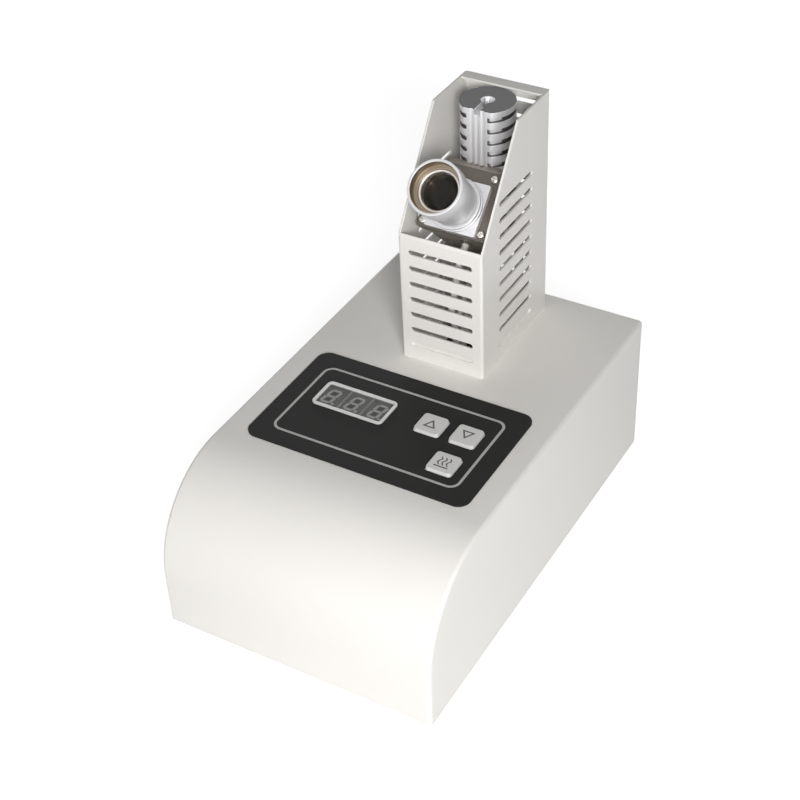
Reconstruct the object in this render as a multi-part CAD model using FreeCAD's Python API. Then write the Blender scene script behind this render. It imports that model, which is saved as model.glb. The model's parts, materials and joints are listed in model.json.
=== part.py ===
import FreeCAD, Part
import math
import os

# Block-type melting point apparatus for capillary tubes. Millimetres, +Z up, +X to the right and -Y to the
# user. The origin is on the bench, under the middle of the case.
#
# A folded and welded steel case with a curved front stands on four rubber feet, closed below and behind by
# an L-shaped chassis. Its top carries a keypad with a three-digit display and three push keys. Behind the
# keypad a slotted sheet guard stands round the oven: a finned aluminium core with a thermometer hole, and a
# viewing head in front of it with three capillary holes, seen through a magnifier that leans at 45 degrees.

V = FreeCAD.Vector

# Case
CASE_W = 160.0
CASE_D = 250.0
CASE_H = 88.0
SHEET = 1.5
FRONT_R = 56.0
EDGE_R = 2.0
FOOT_H = 4.0
LIP_W = 13.0
FIT_GAP = 0.3
REAR_INSET = 6.5
PLATE_T = 1.5
TOP_Z = FOOT_H + CASE_H
UNDER_TOP_Z = TOP_Z - SHEET
REAR_Y = CASE_D / 2 - REAR_INSET
FLOOR_Z = FOOT_H + PLATE_T
LIP_TOP_Z = FLOOR_Z + SHEET

# Feet and the screws under the case
FOOT_R = 7.5
FOOT_TAPER = 1.2
FOOT_INSET_X = 20.0
FOOT_INSET_Y = 20.0
FOOT_HOLE_R = 1.7
FOOT_POCKET_R = 3.6
FOOT_POCKET_D = 2.4
COVER_SCREW_INSET = 8.5
COVER_SCREW_Y = CASE_D / 2 - 40.0
SCREW_R = 1.5
SCREW_HEAD_R = 2.75
SCREW_HEAD_H = 1.8
SCREW_HEAD_EDGE_R = 0.8
SCREW_HOLE_R = 1.65
NUT_H = 2.4
NUT_R = 3.1

# Keypad: overlay, display and keys
OVERLAY_W = 131.8
OVERLAY_D = 80.8
OVERLAY_T = 0.8
OVERLAY_R = 7.0
OVERLAY_Y = -21.6
OVERLAY_Z = TOP_Z + OVERLAY_T
DISPLAY_X = -25.75
DISPLAY_Y = -14.4
WINDOW_W = 41.4
WINDOW_D = 18.5
WINDOW_T = 0.5
WINDOW_R = 0.8
WINDOW_GAP = 0.2
BEZEL_RIM = 1.0
BEZEL_T = 0.9
BEZEL_LAP = 0.7
BEZEL_R = 3.0
DIGIT_W = 13.4
DIGIT_D = 18.0
DIGIT_H = 8.6
DIGIT_PITCH = 13.9
DIGIT_COUNT = 3
DIGIT_GAP = 0.1
KEY_SIZE = 15.0
KEY_RISE = 1.7
KEY_DRAFT = 0.45
KEY_R = 1.8
KEY_GAP = 0.3
KEY_TRAVEL = 0.8
KEY_FLANGE = 1.5
KEY_FLANGE_T = 1.0
KEY_REST_GAP = 0.2
KEY_STEM_R = 2.4
KEYS = {"up": (20.1, -12.6), "down": (40.9, -12.6), "heat": (40.9, -37.1)}

# Control board under the keypad
BOARD_T = 1.6
BOARD_W = 122.0
BOARD_D = 66.0
BOARD_TOP_Z = OVERLAY_Z - WINDOW_T - DIGIT_GAP - DIGIT_H
BOARD_POST_R = 3.0
BOARD_POST_INSET = 4.5
BOARD_POST_END = 1.0
BOARD_SCREW_END = 2.0
SWITCH_SIZE = 6.2
SWITCH_H = 3.6
PLUNGER_R = 1.7
PLUNGER_GAP = 0.1
PLUNGER_SEAT = 1.6

# Rear: fused mains inlet and rocker switch
INLET_X = 38.0
INLET_Z = 44.0
INLET_FLANGE_W = 31.0
INLET_FLANGE_H = 38.0
INLET_FLANGE_T = 2.5
INLET_BODY_W = 27.4
INLET_BODY_H = 33.0
INLET_BODY_D = 19.0
SOCKET_W = 24.2
SOCKET_H = 16.8
SOCKET_D = 16.0
SOCKET_CUT = 4.5
SOCKET_RISE = 5.6
PIN_PITCH = 14.0
PIN_W = 2.0
PIN_H = 4.0
PIN_LEN = 14.0
PIN_TAIL = 4.0
EARTH_RISE = 3.6
DRAWER_W = 23.4
DRAWER_H = 8.0
DRAWER_D = 12.0
DRAWER_DROP = 10.4
DRAWER_FACE_T = 1.2
DRAWER_FACE_LAP = 0.7
DRAWER_GAP = 0.2
NICK_W = 8.0
NICK_H = 1.2
FUSE_R = 2.5
FUSE_LEN = 20.0
FUSE_SINK = 0.2
ROCKER_X = -36.0
ROCKER_Z = 44.0
ROCKER_FRAME_W = 15.0
ROCKER_FRAME_H = 21.0
ROCKER_FRAME_T = 2.0
ROCKER_BODY_W = 12.8
ROCKER_BODY_H = 19.0
ROCKER_BODY_D = 14.0
ROCKER_W = 10.4
ROCKER_H = 16.8
ROCKER_TIP = 3.2
ROCKER_WAIST = 2.0
ROCKER_ROOT = 2.0
ROCKER_TILT = 9.0
ROCKER_GAP = 0.45
ROCKER_WELL_GAP = 1.0
ROCKER_PIN_R = 1.2
ROCKER_PIN_GAP = 0.06
ROCKER_PIN_OUT = 0.7

# Power board on the chassis floor
POWER_POST_H = 8.0
POWER_POST_R = 3.0
POWER_X = 0.0
POWER_Y = CASE_D / 2 - 70.0
POWER_W = 116.0
POWER_D = 80.0
POWER_POST_INSET = 5.0
POWER_SCREW_BITE = 3.5
POWER_TOP_Z = FLOOR_Z + POWER_POST_H + BOARD_T
TRANSFORMER = (36.0, 30.0, 29.0)
TRANSFORMER_AT = (-36.0, POWER_Y + 22.0)
CORE_STACK = 18.0
BOBBIN_W = 22.4
BOBBIN_GROW = 2.5
BOBBIN_R = 2.0
SINK_AT = (38.0, POWER_Y + 7.0)
SINK_SIZE = (30.0, 14.0, 26.0)
SINK_BASE_T = 3.0
SINK_FIN_T = 1.4
SINK_FINS = 6
TRIAC_SIZE = (10.4, 4.5, 16.0)
CAP_R = 6.5
CAP_H = 18.0
CAP_AT = (-34.0, POWER_Y - 17.0)
TERMINAL_W = 34.0
TERMINAL_D = 12.0
TERMINAL_H = 11.0

# Guard round the oven
GUARD_W = 50.0
GUARD_D = 78.0
GUARD_H = 138.0
GUARD_Y1 = CASE_D / 2 - 11.0
GUARD_Y0 = GUARD_Y1 - GUARD_D
GUARD_T = 1.2
GUARD_FRONT_H = 78.0
GUARD_SHOULDER_Y = GUARD_Y1 - 37.0
GUARD_BEND_R = 1.6
GUARD_FLANGE = 7.0
SLOT_LEN = 38.0
SLOT_H = 3.0
SLOT_FIRST = 10.0
SLOT_PITCH = 9.9
FRONT_SLOTS = 7
SIDE_SLOTS = 10
BACK_SLOTS = 13
COLLAR_H = 14.5
COLLAR_T = 1.2
COLLAR_CORNER_R = 1.4
GUARD_SCREW_X = 15.0
GUARD_SCREW_RISE = 4.4
GUARD_SCREW_OUT = 2.5
COLLAR_SCREW_INSET = 6.0
GROMMET_HOLE_R = 7.0
GROMMET_R = 9.0
GROMMET_BORE_R = 5.2
GROMMET_LIP = 1.6
GROMMET_BEVEL = 0.6
GROMMET_Y = GUARD_Y0 + 20.0
GROMMET_GAP = 0.05

# Oven: heights count from the top of the case
CORE_Y = GUARD_Y1 - 22.5
CORE_R = 15.0
CORE_TOP = 137.0
OVEN_BASE = 57.0
LEDGE = 105.0
CORE_FLAT_Y = CORE_Y - 11.5
FIN_PITCH = 6.6
FIN_GAP = 2.6
FIN_DEPTH = 2.2
FIN_FIRST = 4.6
FIN_COUNT = 11
FIN_STOP = 10.8
CAPILLARY_Y = CORE_Y - 13.3
CAPILLARY_R = 1.1
CAPILLARY_PITCH = 3.2
CAPILLARY_COUNT = 3
CAPILLARY_DEPTH = 45.0
GUIDE_R = 1.35
GUIDE_FLAT_Y = CORE_Y - 12.6
GUIDE_FLAT_W = 10.6
THERMOMETER_R = 3.3
THERMOMETER_DEPTH = 55.0
THERMOMETER_BEVEL = 0.5
CHANNEL_W = 3.6
CHANNEL_D = 3.2
HEAD_W = 31.0
VIEW_R = 6.5
HEATER_R = 3.0
HEATER_LEN = 42.0
HEATER_TAIL = 5.0
HEATER_X = 6.6
HEATER_Y = CORE_Y + 5.9
SENSOR_R = 1.6
SENSOR_LEN = 30.0
SENSOR_Y = CORE_Y + 10.3
BORE_GAP = 0.05
BORE_END_GAP = 0.5
CARRIER_T = 2.0
CARRIER_W = 32.0
CARRIER_R = 2.0
CARRIER_Y0 = CORE_Y - 30.5
CARRIER_Y1 = CORE_Y + 17.5
PILLAR_R = 2.5
PILLAR_STUD_R = 1.5
PILLAR_X = 12.0
PILLAR_Y = (CORE_Y - 26.5, CORE_Y + 13.5)
PILLAR_HOLE = 10.0
PILLAR_SCREW_BITE = 8.0
HEAD_SCREW = (11.0, CORE_Y - 16.0)
CORE_SCREW = (8.6, CORE_Y - 4.0)
OVEN_SCREW_HOLE = 8.0
OVEN_SCREW_BITE = 7.0

# Magnifier, square to a 45 degree face of the viewing head
LENS_TILT = 45.0
LENS_Y = CORE_Y - 35.5
LENS_RISE = 92.5
LENS_Z = TOP_Z + LENS_RISE
MOUNT_W = 29.8
MOUNT_V = 26.6
MOUNT_T = 3.0
MOUNT_CORNER_R = 1.0
RING_1_R = 14.2
RING_1_T = 2.0
RING_2_R = 13.7
RING_2_T = 2.2
RING_EDGE_R = 0.4
SPIGOT_R = 12.4
SPIGOT_T = 6.0
MOUNT_BORE_R = 11.0
PLATE_HALF_W = 20.4
PLATE_LOW = 15.2
PLATE_HIGH = 21.8
TILT_PLATE_T = 2.0
TILT_PLATE_R = 1.5
NOSE_LOW = 14.9
NOSE_HIGH = 21.0
NOSE_T = 6.0
NOSE_HALF_W = 20.0
PLATE_SCREWS = ((14.6, 18.4), (17.2, -11.4))
PLATE_SCREW_HEAD_R = 2.1
PLATE_SCREW_LEN = 7.0
TUBE_SLIDE_GAP = 0.08
TUBE_BASE = 5.5
TUBE_TAIL = 7.0
TUBE_LEN = 33.2
TUBE_BASE_R = 12.8
TUBE_WAIST_R = 13.2
TUBE_WAIST = 14.0
TUBE_MOUTH_R = 15.0
TUBE_FLARE = 27.0
TUBE_MOUTH_BORE_R = 13.5
TUBE_MOUTH_DEPTH = 5.8
TUBE_BORE_R = 9.9
LENS_R = 11.3
LENS_EDGE_T = 2.4
LENS_SEAT = 21.2
LENS_DOME_R = 9.6
LENS_DOME_H = 1.7
LENS_GAP = 0.05
RETAINER_BORE_R = 10.1
RETAINER_T = 3.0
LAMP_R = 2.5
LAMP_X = 5.0
LAMP_DEPTH = 16.0
LAMP_RIM_R = 3.2
LAMP_RIM_T = 1.2
LAMP_TAIL = 10.0

# Sleeved leads from the oven to the terminal block
LEAD_R = 1.5
SENSOR_LEAD_R = 1.2
LAMP_LEAD_R = 1.9
LEAD_SPREAD = 3.0
LEAD_DROP = 10.0
LEAD_RISE = 12.0
LEAD_BEND_R = 10.0
LEAD_SINK = 4.0
LAMP_LEAD_SAG = (2.0, -9.0, 34.0)

HALF_W = CASE_W / 2
HALF_D = CASE_D / 2
FACE_N = -(MOUNT_T + TILT_PLATE_T)
SCREW_X_LIP = HALF_W - COVER_SCREW_INSET
FOOT_AT = [(sx * (HALF_W - FOOT_INSET_X), sy * (HALF_D - FOOT_INSET_Y)) for sx in (-1, 1) for sy in (-1, 1)]
LIP_SCREWS = [(sx * SCREW_X_LIP, sy * COVER_SCREW_Y) for sx in (-1, 1) for sy in (-1, 1)]
CAPILLARY_X = [(i - (CAPILLARY_COUNT - 1) / 2) * CAPILLARY_PITCH for i in range(CAPILLARY_COUNT)]
PILLAR_AT = [(sx * PILLAR_X, y) for sx in (-1, 1) for y in PILLAR_Y]
COLLAR_SCREWS = [
    (sx * (GUARD_W / 2 - COLLAR_SCREW_INSET), y)
    for sx in (-1, 1)
    for y in (GUARD_Y0 + COLLAR_SCREW_INSET, GUARD_Y1 - COLLAR_SCREW_INSET)
]


def box(x0, x1, y0, y1, z0, z1):
    return Part.makeBox(x1 - x0, y1 - y0, z1 - z0, V(x0, y0, z0))


def block(size, x, y, z):
    """A box of size (x, y, z) standing at height z, centred on x, y."""
    return box(x - size[0] / 2, x + size[0] / 2, y - size[1] / 2, y + size[1] / 2, z, z + size[2])


def rod(r, start, end):
    a, b = V(*start), V(*end)
    return Part.makeCylinder(r, (b - a).Length, a, b - a)


def upright(r, x, y, z0, z1):
    return rod(r, (x, y, z0), (x, y, z1))


def upright_edges(shape):
    return [e for e in shape.Edges if abs(e.tangentAt(e.FirstParameter).z) > 0.999]


def plate(w, d, r, x, y, z0, z1):
    """A plate with rounded corners, centred on x, y."""
    body = block((w, d, z1 - z0), x, y, z0)
    return body.makeFillet(r, upright_edges(body))


def prism(points, x0, x1):
    """A closed outline of (y, z) points, drawn along X from x0 to x1."""
    wire = Part.makePolygon([V(x0, y, z) for y, z in points + points[:1]])
    return Part.Face(wire).extrude(V(x1 - x0, 0, 0))


def turned(points, x, y, z):
    """A closed outline of (radius, height) points, turned about an upright axis at x, y from height z."""
    wire = Part.makePolygon([V(x + r, y, z + h) for r, h in points + points[:1]])
    return Part.Face(wire).revolve(V(x, y, z), V(0, 0, 1), 360)


def cut_all(body, tools):
    return body.cut(tools[0].multiFuse(tools[1:]) if len(tools) > 1 else tools[0])


def join(body, pieces):
    return body.multiFuse(pieces).removeSplitter()


def screw(x, y, z, length, up, head_r=SCREW_HEAD_R):
    """A pan-head screw whose head rests at height z, with its shank going up or down."""
    way = 1 if up else -1
    head = rod(head_r, (x, y, z), (x, y, z - way * SCREW_HEAD_H))
    rim = [e for e in head.Edges if abs(e.BoundBox.ZMin - (z - way * SCREW_HEAD_H)) < 1e-6 and e.Length > 1]
    head = head.makeFillet(SCREW_HEAD_EDGE_R, [e for e in rim if e.BoundBox.ZLength < 1e-6])
    return head.fuse(rod(SCREW_R, (x, y, z), (x, y, z + way * length)))


def nut(x, y, z0, z1):
    """A hexagon nut with a clear hole for the screw's shank."""
    corners = [V(x + NUT_R * math.cos(k * math.pi / 3), y + NUT_R * math.sin(k * math.pi / 3), z0) for k in range(6)]
    body = Part.Face(Part.makePolygon(corners + corners[:1])).extrude(V(0, 0, z1 - z0))
    return body.cut(upright(SCREW_R, x, y, z0, z1))


def lying_slot(length, height, cx, cy, cz, axis, depth):
    """A cutter for a slot with round ends: its length runs along axis "x" or "y", through a wall."""
    half = length / 2 - height / 2
    if axis == "x":
        middle = box(cx - half, cx + half, cy - depth, cy + depth, cz - height / 2, cz + height / 2)
        ends = [rod(height / 2, (cx + s * half, cy - depth, cz), (cx + s * half, cy + depth, cz)) for s in (-1, 1)]
    else:
        middle = box(cx - depth, cx + depth, cy - half, cy + half, cz - height / 2, cz + height / 2)
        ends = [rod(height / 2, (cx - depth, cy + s * half, cz), (cx + depth, cy + s * half, cz)) for s in (-1, 1)]
    return middle.multiFuse(ends)


def lead(points, r):
    """A round lead of straight runs joined by tangent arcs of the leads' bend radius."""
    route = [V(*p) for p in points]
    edges = []
    here = route[0]
    for before, corner, after in zip(route, route[1:], route[2:]):
        run_in, run_out = (corner - before).normalize(), (after - corner).normalize()
        reach = LEAD_BEND_R * math.tan(run_in.getAngle(run_out) / 2)
        a, b = corner - run_in * reach, corner + run_out * reach
        inward = ((a + b) * 0.5 - corner).normalize()
        centre = corner + inward * math.hypot(LEAD_BEND_R, reach)
        middle = centre - inward * LEAD_BEND_R
        edges += [Part.LineSegment(here, a).toShape(), Part.Arc(a, middle, b).toShape()]
        here = b
    edges.append(Part.LineSegment(here, route[-1]).toShape())
    path = Part.Wire(edges)
    ring = Part.Wire(Part.Circle(route[0], route[1] - route[0], r).toShape())
    solid = path.makePipeShell([ring], True, True)
    if abs(solid.Volume / (math.pi * r * r * path.Length) - 1) > 0.01:
        raise RuntimeError("a lead's volume isn't its section times its length")
    return solid


def tilted(shape):
    """Moves a shape drawn with the lens axis along +Z, and up the slope along +Y, to its place."""
    placed = shape.copy()
    placed.rotate(V(0, 0, 0), V(1, 0, 0), LENS_TILT)
    placed.translate(V(0, LENS_Y, LENS_Z))
    return placed


def slope_point(v, n):
    """(y, z) of a point v up the slope and n out along the lens axis."""
    t = math.radians(LENS_TILT)
    return (LENS_Y + v * math.cos(t) - n * math.sin(t), LENS_Z + v * math.sin(t) + n * math.cos(t))


def save(name, *solids):
    """Writes one node: one solid, or a group of separate ones."""
    pieces = [s for shape in solids for s in shape.Solids]
    for piece in pieces:
        if not piece.isValid() or piece.Volume <= 0:
            raise RuntimeError(name + " has a bad solid")
    shape = pieces[0] if len(pieces) == 1 else Part.makeCompound(pieces)
    shape.exportStep("parts/" + name + ".step")
    print("%-20s %2d solid(s) %10.1f mm3" % (name, len(pieces), sum(p.Volume for p in pieces)))


# Case


def case_outline(inset, y_end, z_end):
    """The side view of the case, inset from its outside: front, quarter-round and top, open behind."""
    front, top, r = -HALF_D + inset, TOP_Z - inset, FRONT_R - inset
    centre = V(0, front + r, top - r)
    bend = Part.Arc(V(0, front, top - r), centre + V(0, -r, r) * math.sqrt(0.5), V(0, front + r, top))
    corners = [V(0, front + r, top), V(0, y_end, top), V(0, y_end, z_end), V(0, front, z_end), V(0, front, top - r)]
    lines = [Part.LineSegment(a, b).toShape() for a, b in zip(corners, corners[1:])]
    return Part.Face(Part.Wire([bend.toShape()] + lines))


def case_body(inset, y_end, z_end, edge_r):
    """The case's volume between its side walls, with the edges along the sides rounded."""
    half = HALF_W - inset
    face = case_outline(inset, y_end, z_end)
    face.translate(V(-half, 0, 0))
    body = face.extrude(V(2 * half, 0, 0))

    def along_side(edge):
        middle = edge.valueAt((edge.FirstParameter + edge.LastParameter) / 2)
        return abs(abs(middle.x) - half) < 1e-6 and middle.y < y_end - 1e-6 and middle.z > z_end + 1e-6

    return body.makeFillet(edge_r, [e for e in body.Edges if along_side(e)])


def make_case_shell():
    shell = case_body(0, HALF_D, FOOT_H, EDGE_R).cut(
        case_body(SHEET, HALF_D + 1, FOOT_H - 1, EDGE_R - SHEET)
    )
    inside = HALF_W - SHEET
    lip_back = REAR_Y - SHEET - FIT_GAP
    lip_front = -HALF_D + SHEET
    lips = [
        box(-inside, -inside + LIP_W, lip_front, lip_back, FLOOR_Z, LIP_TOP_Z),
        box(inside - LIP_W, inside, lip_front, lip_back, FLOOR_Z, LIP_TOP_Z),
        box(-inside, inside, lip_front, lip_front + LIP_W, FLOOR_Z, LIP_TOP_Z),
    ]
    shell = join(shell, lips)
    holes = [upright(SCREW_HOLE_R, x, y, FOOT_H, LIP_TOP_Z + 1) for x, y in LIP_SCREWS]
    z0, z1 = UNDER_TOP_Z - 1, TOP_Z + 1
    holes += [upright(SCREW_HOLE_R, x, y, z0, z1) for x, y in COLLAR_SCREWS + PILLAR_AT]
    holes.append(upright(GROMMET_HOLE_R, 0, GROMMET_Y, z0, z1))
    holes.append(window_hole(z0, z1))
    holes += [key_hole(x, y, z0, z1) for x, y in KEYS.values()]
    return cut_all(shell, holes)


def window_hole(z0, z1):
    return plate(
        WINDOW_W + 2 * WINDOW_GAP, WINDOW_D + 2 * WINDOW_GAP, WINDOW_R + WINDOW_GAP, DISPLAY_X, DISPLAY_Y, z0, z1
    )


def key_hole(x, y, z0, z1):
    side = KEY_SIZE + 2 * KEY_GAP
    return plate(side, side, KEY_R + KEY_GAP, x, y, z0, z1)


def make_chassis():
    """Floor and rear wall folded from one sheet, inside the edges of the case."""
    half = HALF_W - SHEET - FIT_GAP
    top = UNDER_TOP_Z - FIT_GAP
    front = -HALF_D + SHEET + FIT_GAP
    sheet = box(-half, half, front, REAR_Y, FOOT_H, FLOOR_Z).fuse(
        box(-half, half, REAR_Y - SHEET, REAR_Y, FOOT_H, top)
    ).removeSplitter()
    bend = [
        e for e in sheet.Edges
        if e.BoundBox.XLength > half and abs(e.BoundBox.YMin - REAR_Y) < 1e-6 and abs(e.BoundBox.ZMin - FOOT_H) < 1e-6
    ]
    sheet = sheet.makeFillet(EDGE_R, bend)
    holes = [upright(FOOT_HOLE_R, x, y, FOOT_H - 1, FLOOR_Z + 1) for x, y in FOOT_AT]
    holes += [upright(SCREW_HOLE_R, x, y, FOOT_H - 1, FLOOR_Z + 1) for x, y in LIP_SCREWS]
    holes += [upright(SCREW_HOLE_R, x, y, FOOT_H - 1, FLOOR_Z + 1) for x, y in power_posts()]
    y0, y1 = REAR_Y - SHEET - 1, REAR_Y + 1
    w, h = INLET_BODY_W / 2 + FIT_GAP, INLET_BODY_H / 2 + FIT_GAP
    holes.append(box(INLET_X - w, INLET_X + w, y0, y1, INLET_Z - h, INLET_Z + h))
    w, h = ROCKER_BODY_W / 2 + FIT_GAP, ROCKER_BODY_H / 2 + FIT_GAP
    holes.append(box(ROCKER_X - w, ROCKER_X + w, y0, y1, ROCKER_Z - h, ROCKER_Z + h))
    return cut_all(sheet, holes)


def make_foot(x, y):
    body = turned([(0, 0), (FOOT_R - FOOT_TAPER, 0), (FOOT_R, FOOT_H), (0, FOOT_H)], x, y, 0)
    return cut_all(body, [upright(FOOT_HOLE_R, x, y, 0, FOOT_H), upright(FOOT_POCKET_R, x, y, 0, FOOT_POCKET_D)])


def foot_screw(x, y):
    return screw(x, y, FOOT_POCKET_D, FLOOR_Z - FOOT_POCKET_D + NUT_H, up=True)


# Keypad


def make_overlay():
    sheet = plate(OVERLAY_W, OVERLAY_D, OVERLAY_R, 0, OVERLAY_Y, TOP_Z, OVERLAY_Z)
    z0, z1 = TOP_Z - 1, OVERLAY_Z + 1
    return cut_all(sheet, [window_hole(z0, z1)] + [key_hole(x, y, z0, z1) for x, y in KEYS.values()])


def make_bezel():
    w, d = WINDOW_W + 2 * BEZEL_RIM, WINDOW_D + 2 * BEZEL_RIM
    z1 = OVERLAY_Z + BEZEL_T
    rim = plate(w, d, BEZEL_R, DISPLAY_X, DISPLAY_Y, OVERLAY_Z, z1)
    inner_w, inner_d = WINDOW_W - 2 * BEZEL_LAP, WINDOW_D - 2 * BEZEL_LAP
    return rim.cut(plate(inner_w, inner_d, WINDOW_R, DISPLAY_X, DISPLAY_Y, OVERLAY_Z - 1, z1 + 1))


def make_window():
    return plate(WINDOW_W, WINDOW_D, WINDOW_R, DISPLAY_X, DISPLAY_Y, OVERLAY_Z - WINDOW_T, OVERLAY_Z)


def make_digits():
    xs = [DISPLAY_X + (i - (DIGIT_COUNT - 1) / 2) * DIGIT_PITCH for i in range(DIGIT_COUNT)]
    return [block((DIGIT_W, DIGIT_D, DIGIT_H), x, DISPLAY_Y, BOARD_TOP_Z) for x in xs]


def make_key(x, y):
    """A push key: a drafted cap above the panel, a flange below it and a stem on the switch's plunger."""
    flange_top = UNDER_TOP_Z - KEY_REST_GAP
    flange_side = KEY_SIZE + 2 * KEY_FLANGE
    body = plate(KEY_SIZE, KEY_SIZE, KEY_R, x, y, flange_top - KEY_FLANGE_T, OVERLAY_Z)
    flange = plate(flange_side, flange_side, KEY_R, x, y, flange_top - KEY_FLANGE_T, flange_top)
    top_side = KEY_SIZE - 2 * KEY_DRAFT
    outlines = []
    for side, z in ((KEY_SIZE, OVERLAY_Z), (top_side, OVERLAY_Z + KEY_RISE)):
        sheet = plate(side, side, KEY_R, x, y, z, z + 1)
        foot = [f for f in sheet.Faces if f.BoundBox.ZLength < 1e-6 and abs(f.BoundBox.ZMin - z) < 1e-6]
        outlines.append(foot[0].OuterWire)
    cap = Part.makeLoft(outlines, True, True)
    stem = upright(KEY_STEM_R, x, y, plunger_top(), flange_top)
    return body.multiFuse([flange, cap, stem]).removeSplitter()


def plunger_top():
    return UNDER_TOP_Z - KEY_REST_GAP - KEY_FLANGE_T - KEY_TRAVEL - PLUNGER_GAP


def make_plunger(x, y):
    return upright(PLUNGER_R, x, y, BOARD_TOP_Z + SWITCH_H - PLUNGER_SEAT, plunger_top())


def make_switch(x, y):
    body = block((SWITCH_SIZE, SWITCH_SIZE, SWITCH_H), x, y, BOARD_TOP_Z)
    bottom = BOARD_TOP_Z + SWITCH_H - PLUNGER_SEAT - KEY_TRAVEL - PLUNGER_GAP
    return body.cut(upright(PLUNGER_R + PLUNGER_GAP, x, y, bottom, BOARD_TOP_Z + SWITCH_H))


def board_posts():
    dx, dy = BOARD_W / 2 - BOARD_POST_INSET, BOARD_D / 2 - BOARD_POST_INSET
    return [(sx * dx, OVERLAY_Y + sy * dy) for sx in (-1, 1) for sy in (-1, 1)]


def make_control_board():
    board = block((BOARD_W, BOARD_D, BOARD_T), 0, OVERLAY_Y, BOARD_TOP_Z - BOARD_T)
    return cut_all(board, [upright(SCREW_HOLE_R, x, y, BOARD_TOP_Z - BOARD_T, BOARD_TOP_Z) for x, y in board_posts()])


def make_board_post(x, y):
    post = upright(BOARD_POST_R, x, y, BOARD_TOP_Z, UNDER_TOP_Z)
    return post.cut(upright(SCREW_R, x, y, BOARD_TOP_Z, UNDER_TOP_Z - BOARD_POST_END))


def board_screw(x, y):
    return screw(x, y, BOARD_TOP_Z - BOARD_T, BOARD_T + UNDER_TOP_Z - BOARD_TOP_Z - BOARD_SCREW_END, up=True)


# Rear panel pieces


def make_inlet():
    """Mains inlet with a fuse drawer below its socket, in one moulding."""
    y0, y1 = REAR_Y, REAR_Y + INLET_FLANGE_T
    w, h = INLET_FLANGE_W / 2, INLET_FLANGE_H / 2
    flange = box(INLET_X - w, INLET_X + w, y0, y1, INLET_Z - h, INLET_Z + h)
    along_y = [e for e in flange.Edges if e.BoundBox.YLength > INLET_FLANGE_T / 2]
    flange = flange.makeFillet(EDGE_R, along_y)
    w, h = INLET_BODY_W / 2, INLET_BODY_H / 2
    body = flange.fuse(box(INLET_X - w, INLET_X + w, y0 - INLET_BODY_D, y0, INLET_Z - h, INLET_Z + h))
    body = body.removeSplitter()
    zc = INLET_Z + SOCKET_RISE
    w, h, c = SOCKET_W / 2, SOCKET_H / 2, SOCKET_CUT
    outline = [(-w, -h), (w, -h), (w, h - c), (w - c, h), (c - w, h), (-w, h - c)]
    corners = [V(INLET_X + x, y1 - SOCKET_D, zc + z) for x, z in outline]
    socket = Part.Face(Part.makePolygon(corners + corners[:1])).extrude(V(0, SOCKET_D + 1, 0))
    w, h = DRAWER_W / 2 + DRAWER_GAP, DRAWER_H / 2 + DRAWER_GAP
    zd = INLET_Z - DRAWER_DROP
    bay = box(INLET_X - w, INLET_X + w, y1 - DRAWER_D - DRAWER_GAP, y1 + 1, zd - h, zd + h)
    return cut_all(body, [socket, bay] + pin_blocks())


def pin_blocks():
    y_floor = REAR_Y + INLET_FLANGE_T - SOCKET_D
    zc = INLET_Z + SOCKET_RISE
    y0, y1 = REAR_Y - INLET_BODY_D - PIN_TAIL, y_floor + PIN_LEN
    places = [(-PIN_PITCH / 2, -EARTH_RISE / 2), (0, EARTH_RISE / 2), (PIN_PITCH / 2, -EARTH_RISE / 2)]
    return [
        box(INLET_X + x - PIN_W / 2, INLET_X + x + PIN_W / 2, y0, y1, zc + z - PIN_H / 2, zc + z + PIN_H / 2)
        for x, z in places
    ]


def make_fuse_drawer():
    zd = INLET_Z - DRAWER_DROP
    y1 = REAR_Y + INLET_FLANGE_T
    w, h = DRAWER_W / 2, DRAWER_H / 2
    body = box(INLET_X - w, INLET_X + w, y1 - DRAWER_D, y1, zd - h, zd + h)
    w, h = w + DRAWER_FACE_LAP, h + DRAWER_FACE_LAP
    face = box(INLET_X - w, INLET_X + w, y1, y1 + DRAWER_FACE_T, zd - h, zd + h)
    n = NICK_W / 2
    nick = box(INLET_X - n, INLET_X + n, y1 + DRAWER_FACE_T / 2, y1 + 2 * DRAWER_FACE_T, zd - h, zd - h + NICK_H)
    trough_r = FUSE_R + FUSE_SINK
    yf = y1 - DRAWER_D / 2
    x0, x1 = INLET_X - FUSE_LEN / 2 - FUSE_SINK, INLET_X + FUSE_LEN / 2 + FUSE_SINK
    trough = box(x0, x1, yf - trough_r, yf + trough_r, zd - trough_r, zd + DRAWER_H)
    return cut_all(body.fuse(face).removeSplitter(), [trough, nick])


def make_fuse():
    yf = REAR_Y + INLET_FLANGE_T - DRAWER_D / 2
    zf = INLET_Z - DRAWER_DROP - FUSE_SINK
    return rod(FUSE_R, (INLET_X - FUSE_LEN / 2, yf, zf), (INLET_X + FUSE_LEN / 2, yf, zf))


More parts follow.
